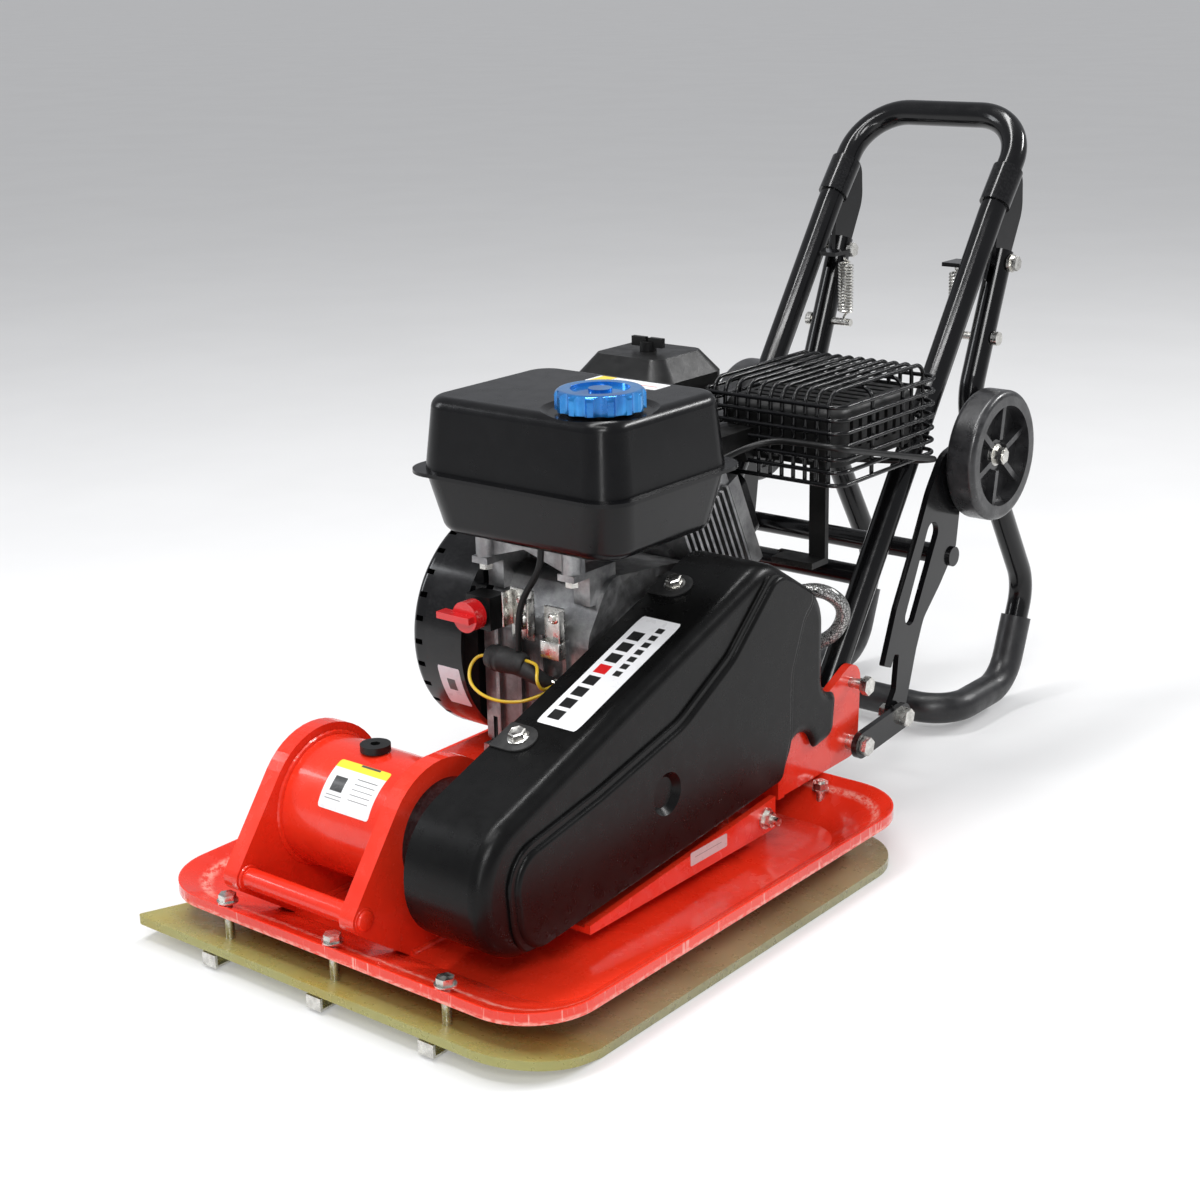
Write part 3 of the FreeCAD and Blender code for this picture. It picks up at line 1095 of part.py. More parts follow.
def axle_bolts():
    bolt = fuse([rod_x(ARM_X0 - 8, WHEEL_X1 + 1, AXLE[0], AXLE[1], AXLE_R),
                 hex_x(ARM_X0 - 8, ARM_X0, AXLE[0], AXLE[1], 17.0),
                 hex_x(WHEEL_X1 - 9, WHEEL_X1, AXLE[0], AXLE[1], 15.0),
                 rod_x(WHEEL_X1 - 10.6, WHEEL_X1 - 9, AXLE[0], AXLE[1], 11.0)])
    return both_sides(bolt)


def wheel():
    """Solid tyre on a spoked hub, free on its axle."""
    tyre = rod_x(WHEEL_X0, WHEEL_X1, AXLE[0], AXLE[1], WHEEL_R)
    rims = [e for e in tyre.Edges if e.BoundBox.XLength < 0.1]
    tyre = tyre.makeFillet(6, rims)
    web_x0, web_x1 = WHEEL_X0 + 11, WHEEL_X1 - 15
    for x0, x1 in ((WHEEL_X0, web_x0), (web_x1, WHEEL_X1)):
        tyre = tyre.cut(rod_x(x0, x1, AXLE[0], AXLE[1], 50).cut(rod_x(x0, x1, AXLE[0], AXLE[1], 15)))
    for k in range(6):
        spoke = box(WHEEL_X0 + 4, WHEEL_X1 - 6, AXLE[0] + 12, AXLE[0] + 52, AXLE[1] - 3, AXLE[1] + 3)
        tyre = tyre.fuse(spoke.rotate(V(0, AXLE[0], AXLE[1]), V(1, 0, 0), 60 * k + 20))
    hub_end = WHEEL_X1 - 11
    tyre = tyre.cut(rod_x(hub_end, WHEEL_X1, AXLE[0], AXLE[1], 15.5))
    return tyre.cut(rod_x(WHEEL_X0, WHEEL_X1, AXLE[0], AXLE[1], AXLE_R + RUN_FIT)).removeSplitter()


# ---------------------------------------------------------------- build
def main():
    os.makedirs("parts", exist_ok=True)
    for make in (paving_mat, base_plate, mat_bolts, exciter_housing, exciter_brackets, lifting_bar,
                 oil_plug, exciter_bearings, bearing_caps, eccentric_shaft, exciter_pulley, drive_belt,
                 clutch_drum, clutch_shoes, crankshaft, belt_cover, cover_bolts, engine_deck, rubber_mounts,
                 deck_bolts, crankcase, cylinder, rocker_cover, fan_housing, flywheel, recoil_cover,
                 starter_grip, tank_upper, tank_lower, fuel_cap, air_cleaner_base, filter_element,
                 air_cleaner_lid, wing_nut,
                 carburettor, throttle_lever, choke_lever, fuel_tap_lever, muffler, muffler_guard, switch_box,
                 switch_knob, ignition_boot, wiring_loom, oil_drain_hose, throttle_cable, handle_tube,
                 handle_sleeves, hinge_bolts, stand_tube, stand_sleeve, spring_pins,
                 stand_springs, wheel_arms, links, link_pins, ear_bolts, axle_bolts):
        save(make(), make.__name__)
    save(wheel(), "wheel_right")
    save(mirror(wheel()), "wheel_left")


main()
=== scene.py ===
"""Looks of the plate compactor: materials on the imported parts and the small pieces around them."""

from math import cos, pi, radians, sin

import bmesh
import bpy
from mathutils import Matrix, Vector


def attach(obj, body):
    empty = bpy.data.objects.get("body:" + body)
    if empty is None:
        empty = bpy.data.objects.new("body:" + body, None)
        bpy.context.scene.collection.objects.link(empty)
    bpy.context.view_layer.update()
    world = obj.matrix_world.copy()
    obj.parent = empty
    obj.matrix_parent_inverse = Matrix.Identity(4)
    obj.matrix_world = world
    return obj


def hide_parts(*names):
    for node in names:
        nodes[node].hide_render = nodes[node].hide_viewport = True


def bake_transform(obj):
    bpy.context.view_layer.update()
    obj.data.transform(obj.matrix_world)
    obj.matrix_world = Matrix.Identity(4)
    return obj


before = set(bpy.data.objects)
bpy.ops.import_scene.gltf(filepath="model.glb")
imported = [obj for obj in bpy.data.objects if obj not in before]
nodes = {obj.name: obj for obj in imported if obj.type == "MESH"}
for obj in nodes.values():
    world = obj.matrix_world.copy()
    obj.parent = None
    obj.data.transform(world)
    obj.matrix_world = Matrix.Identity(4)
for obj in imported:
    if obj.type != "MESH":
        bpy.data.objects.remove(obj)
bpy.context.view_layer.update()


# ---------------------------------------------------------------- shader helpers
class Tree:
    """Short names for building one material's nodes."""

    def __init__(self, name):
        self.material = bpy.data.materials.new(name)
        self.material.use_nodes = True
        self.nodes = self.material.node_tree.nodes
        self.links = self.material.node_tree.links
        self.shader = self.nodes["Principled BSDF"]
        self.place = self.nodes.new("ShaderNodeTexCoord").outputs["Object"]

    def link(self, source, target):
        self.links.new(source, target)

    def noise(self, scale, detail=4.0, rough=0.6, stretch=None, distortion=0.0):
        node = self.nodes.new("ShaderNodeTexNoise")
        node.inputs["Scale"].default_value = scale
        node.inputs["Detail"].default_value = detail
        node.inputs["Roughness"].default_value = rough
        node.inputs["Distortion"].default_value = distortion
        source = self.place
        if stretch:
            mapping = self.nodes.new("ShaderNodeMapping")
            mapping.inputs["Scale"].default_value = stretch
            self.link(source, mapping.inputs["Vector"])
            source = mapping.outputs["Vector"]
        self.link(source, node.inputs["Vector"])
        return node.outputs["Fac"]

    def voronoi(self, scale, feature="F1"):
        node = self.nodes.new("ShaderNodeTexVoronoi")
        node.feature = feature
        node.inputs["Scale"].default_value = scale
        self.link(self.place, node.inputs["Vector"])
        return node.outputs["Distance"]

    def math(self, operation, a, b=0.0, clamp=False):
        node = self.nodes.new("ShaderNodeMath")
        node.operation = operation
        node.use_clamp = clamp
        for socket, value in zip(node.inputs, (a, b)):
            if isinstance(value, (int, float)):
                socket.default_value = value
            else:
                self.link(value, socket)
        return node.outputs[0]

    def ramp(self, source, low, high, a=0.0, b=1.0):
        node = self.nodes.new("ShaderNodeMapRange")
        node.clamp = True
        node.interpolation_type = "SMOOTHSTEP"
        node.inputs["From Min"].default_value = low
        node.inputs["From Max"].default_value = high
        node.inputs["To Min"].default_value = a
        node.inputs["To Max"].default_value = b
        self.link(source, node.inputs["Value"])
        return node.outputs["Result"]

    def mix(self, factor, a, b):
        node = self.nodes.new("ShaderNodeMix")
        node.data_type = "RGBA"
        if isinstance(factor, (int, float)):
            node.inputs["Factor"].default_value = factor
        else:
            self.link(factor, node.inputs["Factor"])
        for socket, value in ((node.inputs[6], a), (node.inputs[7], b)):
            if isinstance(value, tuple):
                socket.default_value = (*value, 1.0)
            else:
                self.link(value, socket)
        return node.outputs[2]

    def axis(self, letter):
        node = self.nodes.new("ShaderNodeSeparateXYZ")
        self.link(self.place, node.inputs[0])
        return node.outputs[letter]

    def facing(self, letter):
        """One component of the surface normal."""
        geometry = self.nodes.new("ShaderNodeNewGeometry")
        node = self.nodes.new("ShaderNodeSeparateXYZ")
        self.link(geometry.outputs["Normal"], node.inputs[0])
        return node.outputs[letter]

    def edges(self, low=0.60, high=0.78):
        """Mask on sharp outer edges: bright worn edges in most finishes, painted highlights on the cast alloy
        and the blue cap.
        """
        geometry = self.nodes.new("ShaderNodeNewGeometry")
        return self.ramp(geometry.outputs["Pointiness"], low, high)

    def bump(self, height, distance, strength=1.0, below=None):
        node = self.nodes.new("ShaderNodeBump")
        node.inputs["Strength"].default_value = strength
        node.inputs["Distance"].default_value = distance
        self.link(height, node.inputs["Height"])
        if below is not None:
            self.link(below, node.inputs["Normal"])
        return node.outputs["Normal"]

    def finish(self, color, rough, normal=None, metal=0.0, coat=0.0, coat_rough=0.1, specular=0.5):
        shader = self.shader
        shader.inputs["Specular IOR Level"].default_value = specular
        shader.inputs["Metallic"].default_value = metal
        shader.inputs["Coat Weight"].default_value = coat
        shader.inputs["Coat Roughness"].default_value = coat_rough
        if isinstance(color, tuple):
            shader.inputs["Base Color"].default_value = (*color, 1.0)
        else:
            self.link(color, shader.inputs["Base Color"])
        if isinstance(rough, (int, float)):
            shader.inputs["Roughness"].default_value = rough
        else:
            self.link(rough, shader.inputs["Roughness"])
        if normal is not None:
            self.link(normal, shader.inputs["Normal"])
        return self.material


def paint(name, main, deep, dust, rough, coat, dust_amount, worn=None, specular=0.5):
    """Enamel: two close tones, light dust on level faces, worn edges and a faint orange peel."""
    t = Tree(name)
    color = t.mix(t.ramp(t.noise(9.0, 3.0), 0.35, 0.68), deep, main)
    level = t.ramp(t.facing("Z"), 0.35, 0.95)
    patches = t.ramp(t.noise(34.0, 6.0, 0.68), 0.48, 0.74)
    dusty = t.math("MULTIPLY", t.math("MULTIPLY", level, patches), dust_amount)
    color = t.mix(dusty, color, dust)
    if worn:
        scratches = t.ramp(t.noise(420.0, 2.0), 0.42, 0.62)
        wear = t.math("MULTIPLY", t.edges(), scratches)
        color = t.mix(t.math("MULTIPLY", wear, 0.75), color, worn)
    shine = t.ramp(t.noise(60.0, 4.0), 0.3, 0.75, *rough)
    shine = t.math("ADD", shine, t.math("MULTIPLY", dusty, 0.5), clamp=True)
    peel = t.bump(t.noise(520.0, 2.0, 0.5), 0.00010, 0.20)
    normal = t.bump(t.noise(38.0, 2.0), 0.0005, 0.12, peel)
    return t.finish(color, shine, normal, coat=coat, coat_rough=0.10, specular=specular)


def red_paint(name, with_rim=False):
    """Glossy red; with_rim adds a painted highlight band along the plate's lip and short grinding marks."""
    main, deep = (0.82, 0.036, 0.012), (0.70, 0.024, 0.008)
    t = Tree(name)
    color = t.mix(t.ramp(t.noise(7.0, 3.0), 0.3, 0.7), deep, main)
    level = t.ramp(t.facing("Z"), 0.4, 0.95)
    specks = t.ramp(t.noise(240.0, 3.0, 0.7), 0.66, 0.76)
    dusty = t.math("MULTIPLY", level, t.math("MULTIPLY", specks, 0.18))
    color = t.mix(dusty, color, (0.85, 0.36, 0.30))
    shine = t.ramp(t.noise(46.0, 4.0), 0.3, 0.75, 0.20, 0.34)
    peel = t.bump(t.noise(420.0, 2.0, 0.5), 0.00012, 0.3)
    if with_rim:
        z = t.axis("Z")
        # Painted highlight: a pale, ragged band along the plate's lip, 40 to 46 mm up.
        lower = t.ramp(z, 0.0395, 0.0425)
        upper = t.ramp(z, 0.0462, 0.0436)
        band = t.math("MULTIPLY", lower, upper)
        ragged = t.ramp(t.noise(150.0, 5.0, 0.7, (1.0, 1.0, 3.0)), 0.38, 0.60)
        band = t.math("MULTIPLY", band, ragged)
        color = t.mix(t.math("MULTIPLY", band, 0.75), color, (0.92, 0.42, 0.34))
        marks = t.ramp(t.noise(55.0, 2.0, 0.5, (6.0, 6.0, 0.5)), 0.62, 0.70)
        side = t.ramp(z, 0.0410, 0.0440)
        marks = t.math("MULTIPLY", t.math("MULTIPLY", marks, side), t.ramp(t.facing("Z"), 0.5, 0.1))
        color = t.mix(t.math("MULTIPLY", marks, 0.45), color, (0.95, 0.62, 0.54))
    wear = t.math("MULTIPLY", t.edges(0.62, 0.80), t.ramp(t.noise(300.0, 3.0), 0.4, 0.65))
    color = t.mix(t.math("MULTIPLY", wear, 0.45), color, (0.88, 0.22, 0.15))
    normal = t.bump(t.noise(30.0, 2.0), 0.0007, 0.22, peel)
    return t.finish(color, shine, normal, coat=0.5, coat_rough=0.06, specular=0.35)


def moulded_plastic(name, main, light, rough, grain=900.0, specular=0.17):
    """Rotationally moulded plastic: fine grain and scuffs on edges and level faces."""
    t = Tree(name)
    color = t.mix(t.ramp(t.noise(14.0, 4.0), 0.35, 0.7), main, light)
    scuffs = t.ramp(t.noise(26.0, 5.0, 0.7, (1.0, 6.0, 6.0)), 0.72, 0.80)
    color = t.mix(t.math("MULTIPLY", scuffs, 0.04), color, (0.20, 0.20, 0.20))
    wear = t.math("MULTIPLY", t.edges(), t.ramp(t.noise(260.0, 3.0), 0.45, 0.7))
    color = t.mix(t.math("MULTIPLY", wear, 0.12), color, (0.14, 0.14, 0.14))
    shine = t.ramp(t.noise(80.0, 5.0), 0.3, 0.75, *rough)
    fine = t.bump(t.noise(grain, 2.0, 0.6), 0.0002, 0.30)
    return t.finish(color, shine, t.bump(t.noise(22.0, 2.0), 0.0008, 0.06, fine), specular=specular)


def metal(name, main, dark, rough, grain, stretch=(1.0, 1.0, 1.0), depth=0.0002, spots=0.25):
    """Bare or plated metal: streaked tone, tarnish in patches and small dents."""
    t = Tree(name)
    streaks = t.ramp(t.noise(grain, 4.0, 0.65, stretch), 0.3, 0.7)
    color = t.mix(streaks, dark, main)
    tarnish = t.ramp(t.noise(75.0, 5.0, 0.7), 0.55, 0.72)
    color = t.mix(t.math("MULTIPLY", tarnish, spots), color, tuple(c * 0.35 for c in dark))
    shine = t.ramp(t.noise(grain * 1.3, 3.0, 0.6, stretch), 0.3, 0.7, *rough)
    return t.finish(color, shine, t.bump(t.noise(grain * 2.0, 3.0, 0.6, stretch), depth, 0.5), metal=1.0)


def cast_aluminium(name):
    """Sand-cast alloy: grey and grainy, with painted shade in its hollows and painted highlights on its sharp
    edges.
    """
    t = Tree(name)
    color = t.mix(t.ramp(t.noise(42.0, 5.0, 0.7), 0.32, 0.7), (0.24, 0.24, 0.245), (0.46, 0.46, 0.46))
    geometry = t.nodes.new("ShaderNodeNewGeometry")
    # Painted shade: near-black where the surface is hollow (low pointiness).
    painted_hollow_shade = t.ramp(geometry.outputs["Pointiness"], 0.49, 0.40)
    color = t.mix(t.math("MULTIPLY", painted_hollow_shade, 0.75), color, (0.05, 0.05, 0.05))
    # Painted highlight: near-white on the sharp outer edges.
    color = t.mix(t.math("MULTIPLY", t.edges(), 0.5), color, (0.82, 0.82, 0.81))
    grains = t.bump(t.noise(700.0, 3.0, 0.7), 0.0004, 0.7)
    return t.finish(color, t.ramp(t.noise(110.0, 4.0), 0.3, 0.7, 0.30, 0.48),
                    t.bump(t.noise(90.0, 3.0), 0.0008, 0.5, grains), metal=0.9)


def rubber(name, main, light, rough=(0.55, 0.75)):
    """Dull two-tone surface with a fine grain; also serves for the filter's paper."""
    t = Tree(name)
    color = t.mix(t.ramp(t.noise(55.0, 5.0, 0.7), 0.35, 0.72), main, light)
    color = t.mix(t.math("MULTIPLY", t.edges(), 0.4), color, (0.13, 0.13, 0.125))
    fine = t.bump(t.noise(640.0, 3.0), 0.0003, 0.5)
    return t.finish(color, t.ramp(t.noise(90.0, 4.0), 0.3, 0.7, *rough), fine)


def clear_mat(name):
    """Cloudy olive polyurethane with brown-yellow stains and grit."""
    t = Tree(name)
    color = t.mix(t.ramp(t.noise(9.0, 2.0, 0.5), 0.3, 0.7), (0.36, 0.34, 0.18), (0.48, 0.46, 0.26))
    grit = t.ramp(t.noise(230.0, 4.0, 0.75), 0.50, 0.66)
    side = t.ramp(t.facing("Z"), 0.9, 0.3)
    color = t.mix(t.math("MULTIPLY", t.math("MULTIPLY", grit, side), 0.55), color, (0.20, 0.19, 0.13))
    front = t.ramp(t.axis("Y"), -0.16, -0.235)
    color = t.mix(t.math("MULTIPLY", front, 0.9), color, (0.46, 0.44, 0.14))
    stains = t.math("MULTIPLY", t.ramp(t.noise(12.0, 3.0, 0.5), 0.45, 0.75), front)
    color = t.mix(t.math("MULTIPLY", stains, 0.5), color, (0.50, 0.36, 0.05))
    t.shader.inputs["Transmission Weight"].default_value = 0.30
    t.shader.inputs["IOR"].default_value = 1.49
    t.shader.inputs["Subsurface Weight"].default_value = 0.15
    t.shader.inputs["Subsurface Radius"].default_value = (0.01, 0.01, 0.004)
    return t.finish(color, t.ramp(t.noise(60.0, 4.0), 0.3, 0.7, 0.22, 0.40),
                    t.bump(t.noise(160.0, 3.0, 0.6), 0.0004, 0.2))


def braid(name):
    """Woven stainless hose cover: bright strands with dark gaps."""
    t = Tree(name)
    gaps = t.voronoi(420.0, "DISTANCE_TO_EDGE")
    strands = t.ramp(gaps, 0.02, 0.16)
    color = t.mix(strands, (0.03, 0.03, 0.03), (0.50, 0.50, 0.49))
    return t.finish(color, 0.30, t.bump(strands, 0.0008, 0.9), metal=0.85)


def blue_cap_finish(name):
    """Glossy blue with painted highlights of pale cyan on its edges."""
    t = Tree(name)
    color = t.mix(t.ramp(t.noise(30.0, 4.0), 0.3, 0.7), (0.008, 0.15, 0.50), (0.03, 0.32, 0.78))
    # Painted highlight: pale cyan on the sharp outer edges.
    color = t.mix(t.math("MULTIPLY", t.edges(), 0.6), color, (0.30, 0.66, 0.95))
    return t.finish(color, t.ramp(t.noise(90.0, 3.0), 0.3, 0.7, 0.14, 0.26),
                    t.bump(t.noise(300.0, 2.0), 0.0002, 0.3), metal=0.7, coat=0.6, coat_rough=0.05)


def tyre_finish(name):
    """Hard rubber with pale scuffs."""
    t = Tree(name)
    tone = t.ramp(t.noise(48.0, 5.0, 0.7), 0.35, 0.75)
    color = t.mix(tone, (0.012, 0.012, 0.013), (0.038, 0.038, 0.040))
    scuffs = t.ramp(t.noise(160.0, 4.0, 0.75), 0.66, 0.74)
    color = t.mix(t.math("MULTIPLY", scuffs, 0.30), color, (0.20, 0.19, 0.18))
    return t.finish(color, t.ramp(t.noise(70.0, 4.0), 0.3, 0.7, 0.24, 0.44),
                    t.bump(t.noise(260.0, 3.0), 0.0003, 0.4), coat=0.25, coat_rough=0.2)


def label(name, ground, bands):
    """Plain sticker: a pale ground with coloured fields, each held between limits along one or more axes."""
    t = Tree(name)
    color = t.mix(t.ramp(t.noise(120.0, 4.0), 0.5, 0.8), ground, tuple(c * 0.88 for c in ground))
    blur = 0.0003
    for band_color, limits in bands:
        cover = None
        for letter, low, high in limits:
            inside = t.math("MULTIPLY", t.ramp(t.axis(letter), low, low + blur),
                            t.ramp(t.axis(letter), high, high - blur))
            cover = inside if cover is None else t.math("MULTIPLY", cover, inside)
        color = t.mix(cover, color, band_color)
    return t.finish(color, t.ramp(t.noise(90.0, 3.0), 0.3, 0.7, 0.26, 0.40),
                    t.bump(t.noise(400.0, 2.0), 0.0001, 0.3), coat=0.3)


RED = red_paint("red_enamel")
RED_RIM = red_paint("red_enamel_plate", True)
BLACK = paint("black_enamel", (0.005, 0.005, 0.0055), (0.003, 0.003, 0.0035), (0.06, 0.06, 0.06),
              rough=(0.13, 0.22), coat=0.22, dust_amount=0.08, worn=(0.08, 0.08, 0.08), specular=0.26)
SATIN = paint("satin_black", (0.0045, 0.0045, 0.005), (0.003, 0.003, 0.0035), (0.05, 0.05, 0.05),
              rough=(0.22, 0.28), coat=0.0, dust_amount=0.04, specular=0.26)
HEAT_BLACK = paint("heat_black", (0.008, 0.008, 0.008), (0.005, 0.005, 0.005), (0.08, 0.075, 0.07),
                   rough=(0.40, 0.58), coat=0.0, dust_amount=0.25, worn=(0.16, 0.15, 0.13), specular=0.4)
COVER = moulded_plastic("cover_plastic", (0.0035, 0.0035, 0.0035), (0.0055, 0.0055, 0.0055), (0.26, 0.34))
PLASTIC = moulded_plastic("black_plastic", (0.005, 0.005, 0.005), (0.009, 0.009, 0.009), (0.30, 0.42),
                          600.0, 0.28)
ZINC = metal("zinc_plate", (0.78, 0.77, 0.73), (0.50, 0.49, 0.46), (0.20, 0.38), 140.0)
STEEL = metal("ground_steel", (0.55, 0.55, 0.56), (0.33, 0.33, 0.34), (0.25, 0.42), 300.0, (0.3, 4.0, 4.0))
IRON = metal("cast_iron", (0.16, 0.15, 0.15), (0.07, 0.07, 0.07), (0.5, 0.7), 120.0, depth=0.0006, spots=0.5)
ALLOY = cast_aluminium("cast_alloy")
RUBBER = rubber("black_rubber", (0.008, 0.008, 0.008), (0.022, 0.022, 0.022))
SLEEVE = rubber("stand_rubber", (0.010, 0.010, 0.011), (0.022, 0.022, 0.023), (0.30, 0.46))
TYRE = tyre_finish("wheel_rubber")
MAT = clear_mat("clear_polyurethane")
BRAID = braid("steel_braid")
BLUE = blue_cap_finish("blue_cap_finish")
RED_KNOB = paint("red_plastic", (0.70, 0.012, 0.014), (0.52, 0.008, 0.010), (0.7, 0.2, 0.2),
                 rough=(0.18, 0.3), coat=0.5, dust_amount=0.1)
YELLOW = paint("yellow_lead", (0.80, 0.55, 0.03), (0.62, 0.40, 0.02), (0.6, 0.5, 0.2),
               rough=(0.3, 0.42), coat=0.2, dust_amount=0.1)
PAPER = rubber("filter_paper", (0.42, 0.34, 0.18), (0.58, 0.48, 0.28), (0.8, 0.95))

FINISHES = {
    RED: ["exciter_housing", "exciter_brackets", "lifting_bar", "engine_deck"],
    RED_RIM: ["base_plate"],
    BLACK: ["fan_housing", "recoil_cover", "handle_tube", "handle_sleeves", "stand_tube", "wheel_arms",
            "links", "muffler_guard", "bearing_caps"],
    SATIN: ["tank_upper", "tank_lower", "rocker_cover"],
    HEAT_BLACK: ["muffler"],
    COVER: ["belt_cover"],
    PLASTIC: ["air_cleaner_lid", "air_cleaner_base", "wing_nut", "switch_box", "throttle_cable",
              "ignition_boot", "starter_grip", "choke_lever", "fuel_tap_lever", "oil_plug"],
    ZINC: ["mat_bolts", "cover_bolts", "deck_bolts", "hinge_bolts", "spring_pins", "link_pins", "ear_bolts",
           "axle_bolts"],
    STEEL: ["exciter_bearings", "eccentric_shaft", "clutch_drum", "crankshaft"],
    IRON: ["exciter_pulley", "clutch_shoes", "flywheel"],
    ALLOY: ["crankcase", "cylinder", "carburettor"],
    RUBBER: ["drive_belt", "rubber_mounts"],
    SLEEVE: ["stand_sleeve"],
    TYRE: ["wheel_right", "wheel_left"],
    MAT: ["paving_mat"],
    BRAID: ["oil_drain_hose"],
    BLUE: ["fuel_cap"],
    RED_KNOB: ["switch_knob", "throttle_lever"],
    YELLOW: ["wiring_loom"],
    PAPER: ["filter_element"],
}
for material, names in FINISHES.items():
    for name in names:
        for slot in nodes[name].material_slots:
            slot.material = material


# ---------------------------------------------------------------- mesh helpers
MM = 0.001
CREASE = 0.7  # radians
MERGE_DISTANCE = 0.002  # millimetres


def new_piece(name, mesh, material, body="chassis"):
    """An object of one smooth mesh in the row frame that rides on a body when one is given."""
    obj = bpy.data.objects.new(name, mesh)
    bpy.context.collection.objects.link(obj)
    mesh.materials.append(material)
    if body:
        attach(obj, body)
    return obj


def mesh_of(name, bm):
    """Finish a bmesh whose coordinates are in millimetres; edges sharper than CREASE stay sharp."""
    bmesh.ops.remove_doubles(bm, verts=bm.verts, dist=MERGE_DISTANCE)
    bmesh.ops.recalc_face_normals(bm, faces=bm.faces)
    bmesh.ops.scale(bm, vec=(MM, MM, MM), verts=bm.verts)
    for face in bm.faces:
        face.smooth = True
    for edge in bm.edges:
        edge.smooth = not edge.is_manifold or edge.calc_face_angle(0.0) < CREASE
    mesh = bpy.data.meshes.new(name)
    bm.to_mesh(mesh)
    bm.free()
    return mesh


def frames_along(points):
    """Unit tangents and a turning-free pair of side vectors at each point of a path."""
    count = len(points)
    tangents = []
    for i in range(count):
        ahead = points[min(i + 1, count - 1)] - points[max(i - 1, 0)]
        tangents.append(ahead.normalized())
    side = tangents[0].orthogonal().normalized()
    frames = []
    for tangent in tangents:
        side = (side - tangent * side.dot(tangent)).normalized()
        frames.append((tangent, side, tangent.cross(side)))
    return frames


def ring(bm, centre, side, other, radius, sides):
    return [bm.verts.new(centre + (side * cos(2 * pi * k / sides) + other * sin(2 * pi * k / sides)) * radius)
            for k in range(sides)]


def close_rings(bm, rings):
    """Walls between rings of the same count, and a face over each end."""
    sides = len(rings[0])
    for low, high in zip(rings, rings[1:]):
        for k in range(sides):
            bm.faces.new((low[k], low[(k + 1) % sides], high[(k + 1) % sides], high[k]))
    bm.faces.new(rings[0][::-1])
    bm.faces.new(rings[-1])


def sweep(bm, points, radius, sides):
    """Closed round bar along points; the radius is a number or a function of the point's number."""
    points = [Vector(p) for p in points]
    rings = []
    for i, (point, (_, side, other)) in enumerate(zip(points, frames_along(points))):
        r = radius(i) if callable(radius) else radius
        rings.append(ring(bm, point, side, other, r, sides))
    close_rings(bm, rings)


def lathe(bm, centre, axis, profile, sides):
    """Closed turned shape: profile lists (distance along the axis, radius)."""
    centre, axis = Vector(centre), Vector(axis).normalized()
    side = axis.orthogonal().normalized()
    other = axis.cross(side)
    close_rings(bm, [ring(bm, centre + axis * along, side, other, r, sides) for along, r in profile])


def hex_head(bm, centre, axis, across, height, washer=0.0):
    """Hexagon head with chamfered corners on an optional round flange."""
    base = 0.0
    if washer:
        lathe(bm, centre, axis, [(0.0, washer), (1.0, washer), (1.5, washer - 0.7)], 28)
        base = 1.4
    r = across / 2 / cos(pi / 6)
    lathe(bm, centre, axis, [(base, r), (base + height - 1.0, r), (base + height, r - 1.1),
                             (base + height - 0.4, r * 0.6)], 6)


def slab(bm, low, high, bevel=0.8, segments=2):
    """Block between two corners with rounded edges."""
    low, high = Vector(low), Vector(high)
    made = bmesh.ops.create_cube(bm, size=1.0)["verts"]
    for vert in made:
        vert.co = (low + high) / 2 + Vector([c * (b - a) for c, a, b in zip(vert.co, low, high)])
    edges = list(dict.fromkeys(edge for vert in made for edge in vert.link_edges))
    bmesh.ops.bevel(bm, geom=edges, offset=bevel, segments=segments, affect="EDGES", profile=0.5)


SKIN_GAP = 0.02  # millimetres between a sticker and what it is on


def skin(bm, place, columns, rows, thick, corner):
    """Thin closed sheet over place(u, v), which gives a point and its outward normal; u and v run 0 to 1.
    The four corners are rounded by that share of the shorter way."""
    layers = []
    for height in (SKIN_GAP, thick):
        grid = []
        for j in range(rows + 1):
            row = []
            for i in range(columns + 1):
                u, v = i / columns, j / rows
                du, dv = max(abs(u - 0.5) - (0.5 - corner), 0), max(abs(v - 0.5) - (0.5 - corner), 0)
                far = (du * du + dv * dv) ** 0.5
                if du > 0 and dv > 0 and far > corner:
                    u = 0.5 + (0.5 - corner + du * corner / far) * (1 if u > 0.5 else -1)
                    v = 0.5 + (0.5 - corner + dv * corner / far) * (1 if v > 0.5 else -1)
                point, normal = place(u, v)
                row.append(bm.verts.new(Vector(point) + Vector(normal) * height))
            grid.append(row)
        layers.append(grid)
    for grid in layers:
        for j in range(rows):
            for i in range(columns):
                bm.faces.new((grid[j][i], grid[j][i + 1], grid[j + 1][i + 1], grid[j + 1][i]))
    low, high = layers
    rim = [(0, i) for i in range(columns)] + [(j, columns) for j in range(rows)]
    rim += [(rows, columns - i) for i in range(columns)] + [(rows - j, 0) for j in range(rows)]
    for (j0, i0), (j1, i1) in zip(rim, rim[1:] + rim[:1]):
        bm.faces.new((low[j0][i0], low[j1][i1], high[j1][i1], high[j0][i0]))


# ---------------------------------------------------------------- springs
SPRING_X, SPRING_Y = 66.0, 590.0
SPRING_TOP_Z, SPRING_LOW_Z = 487.0, 419.5
COIL_R, COIL_WIRE = 7.0, 1.3
COIL_TURNS = 16
COIL_STEPS = 14
HOOK_LENGTH = 8.0


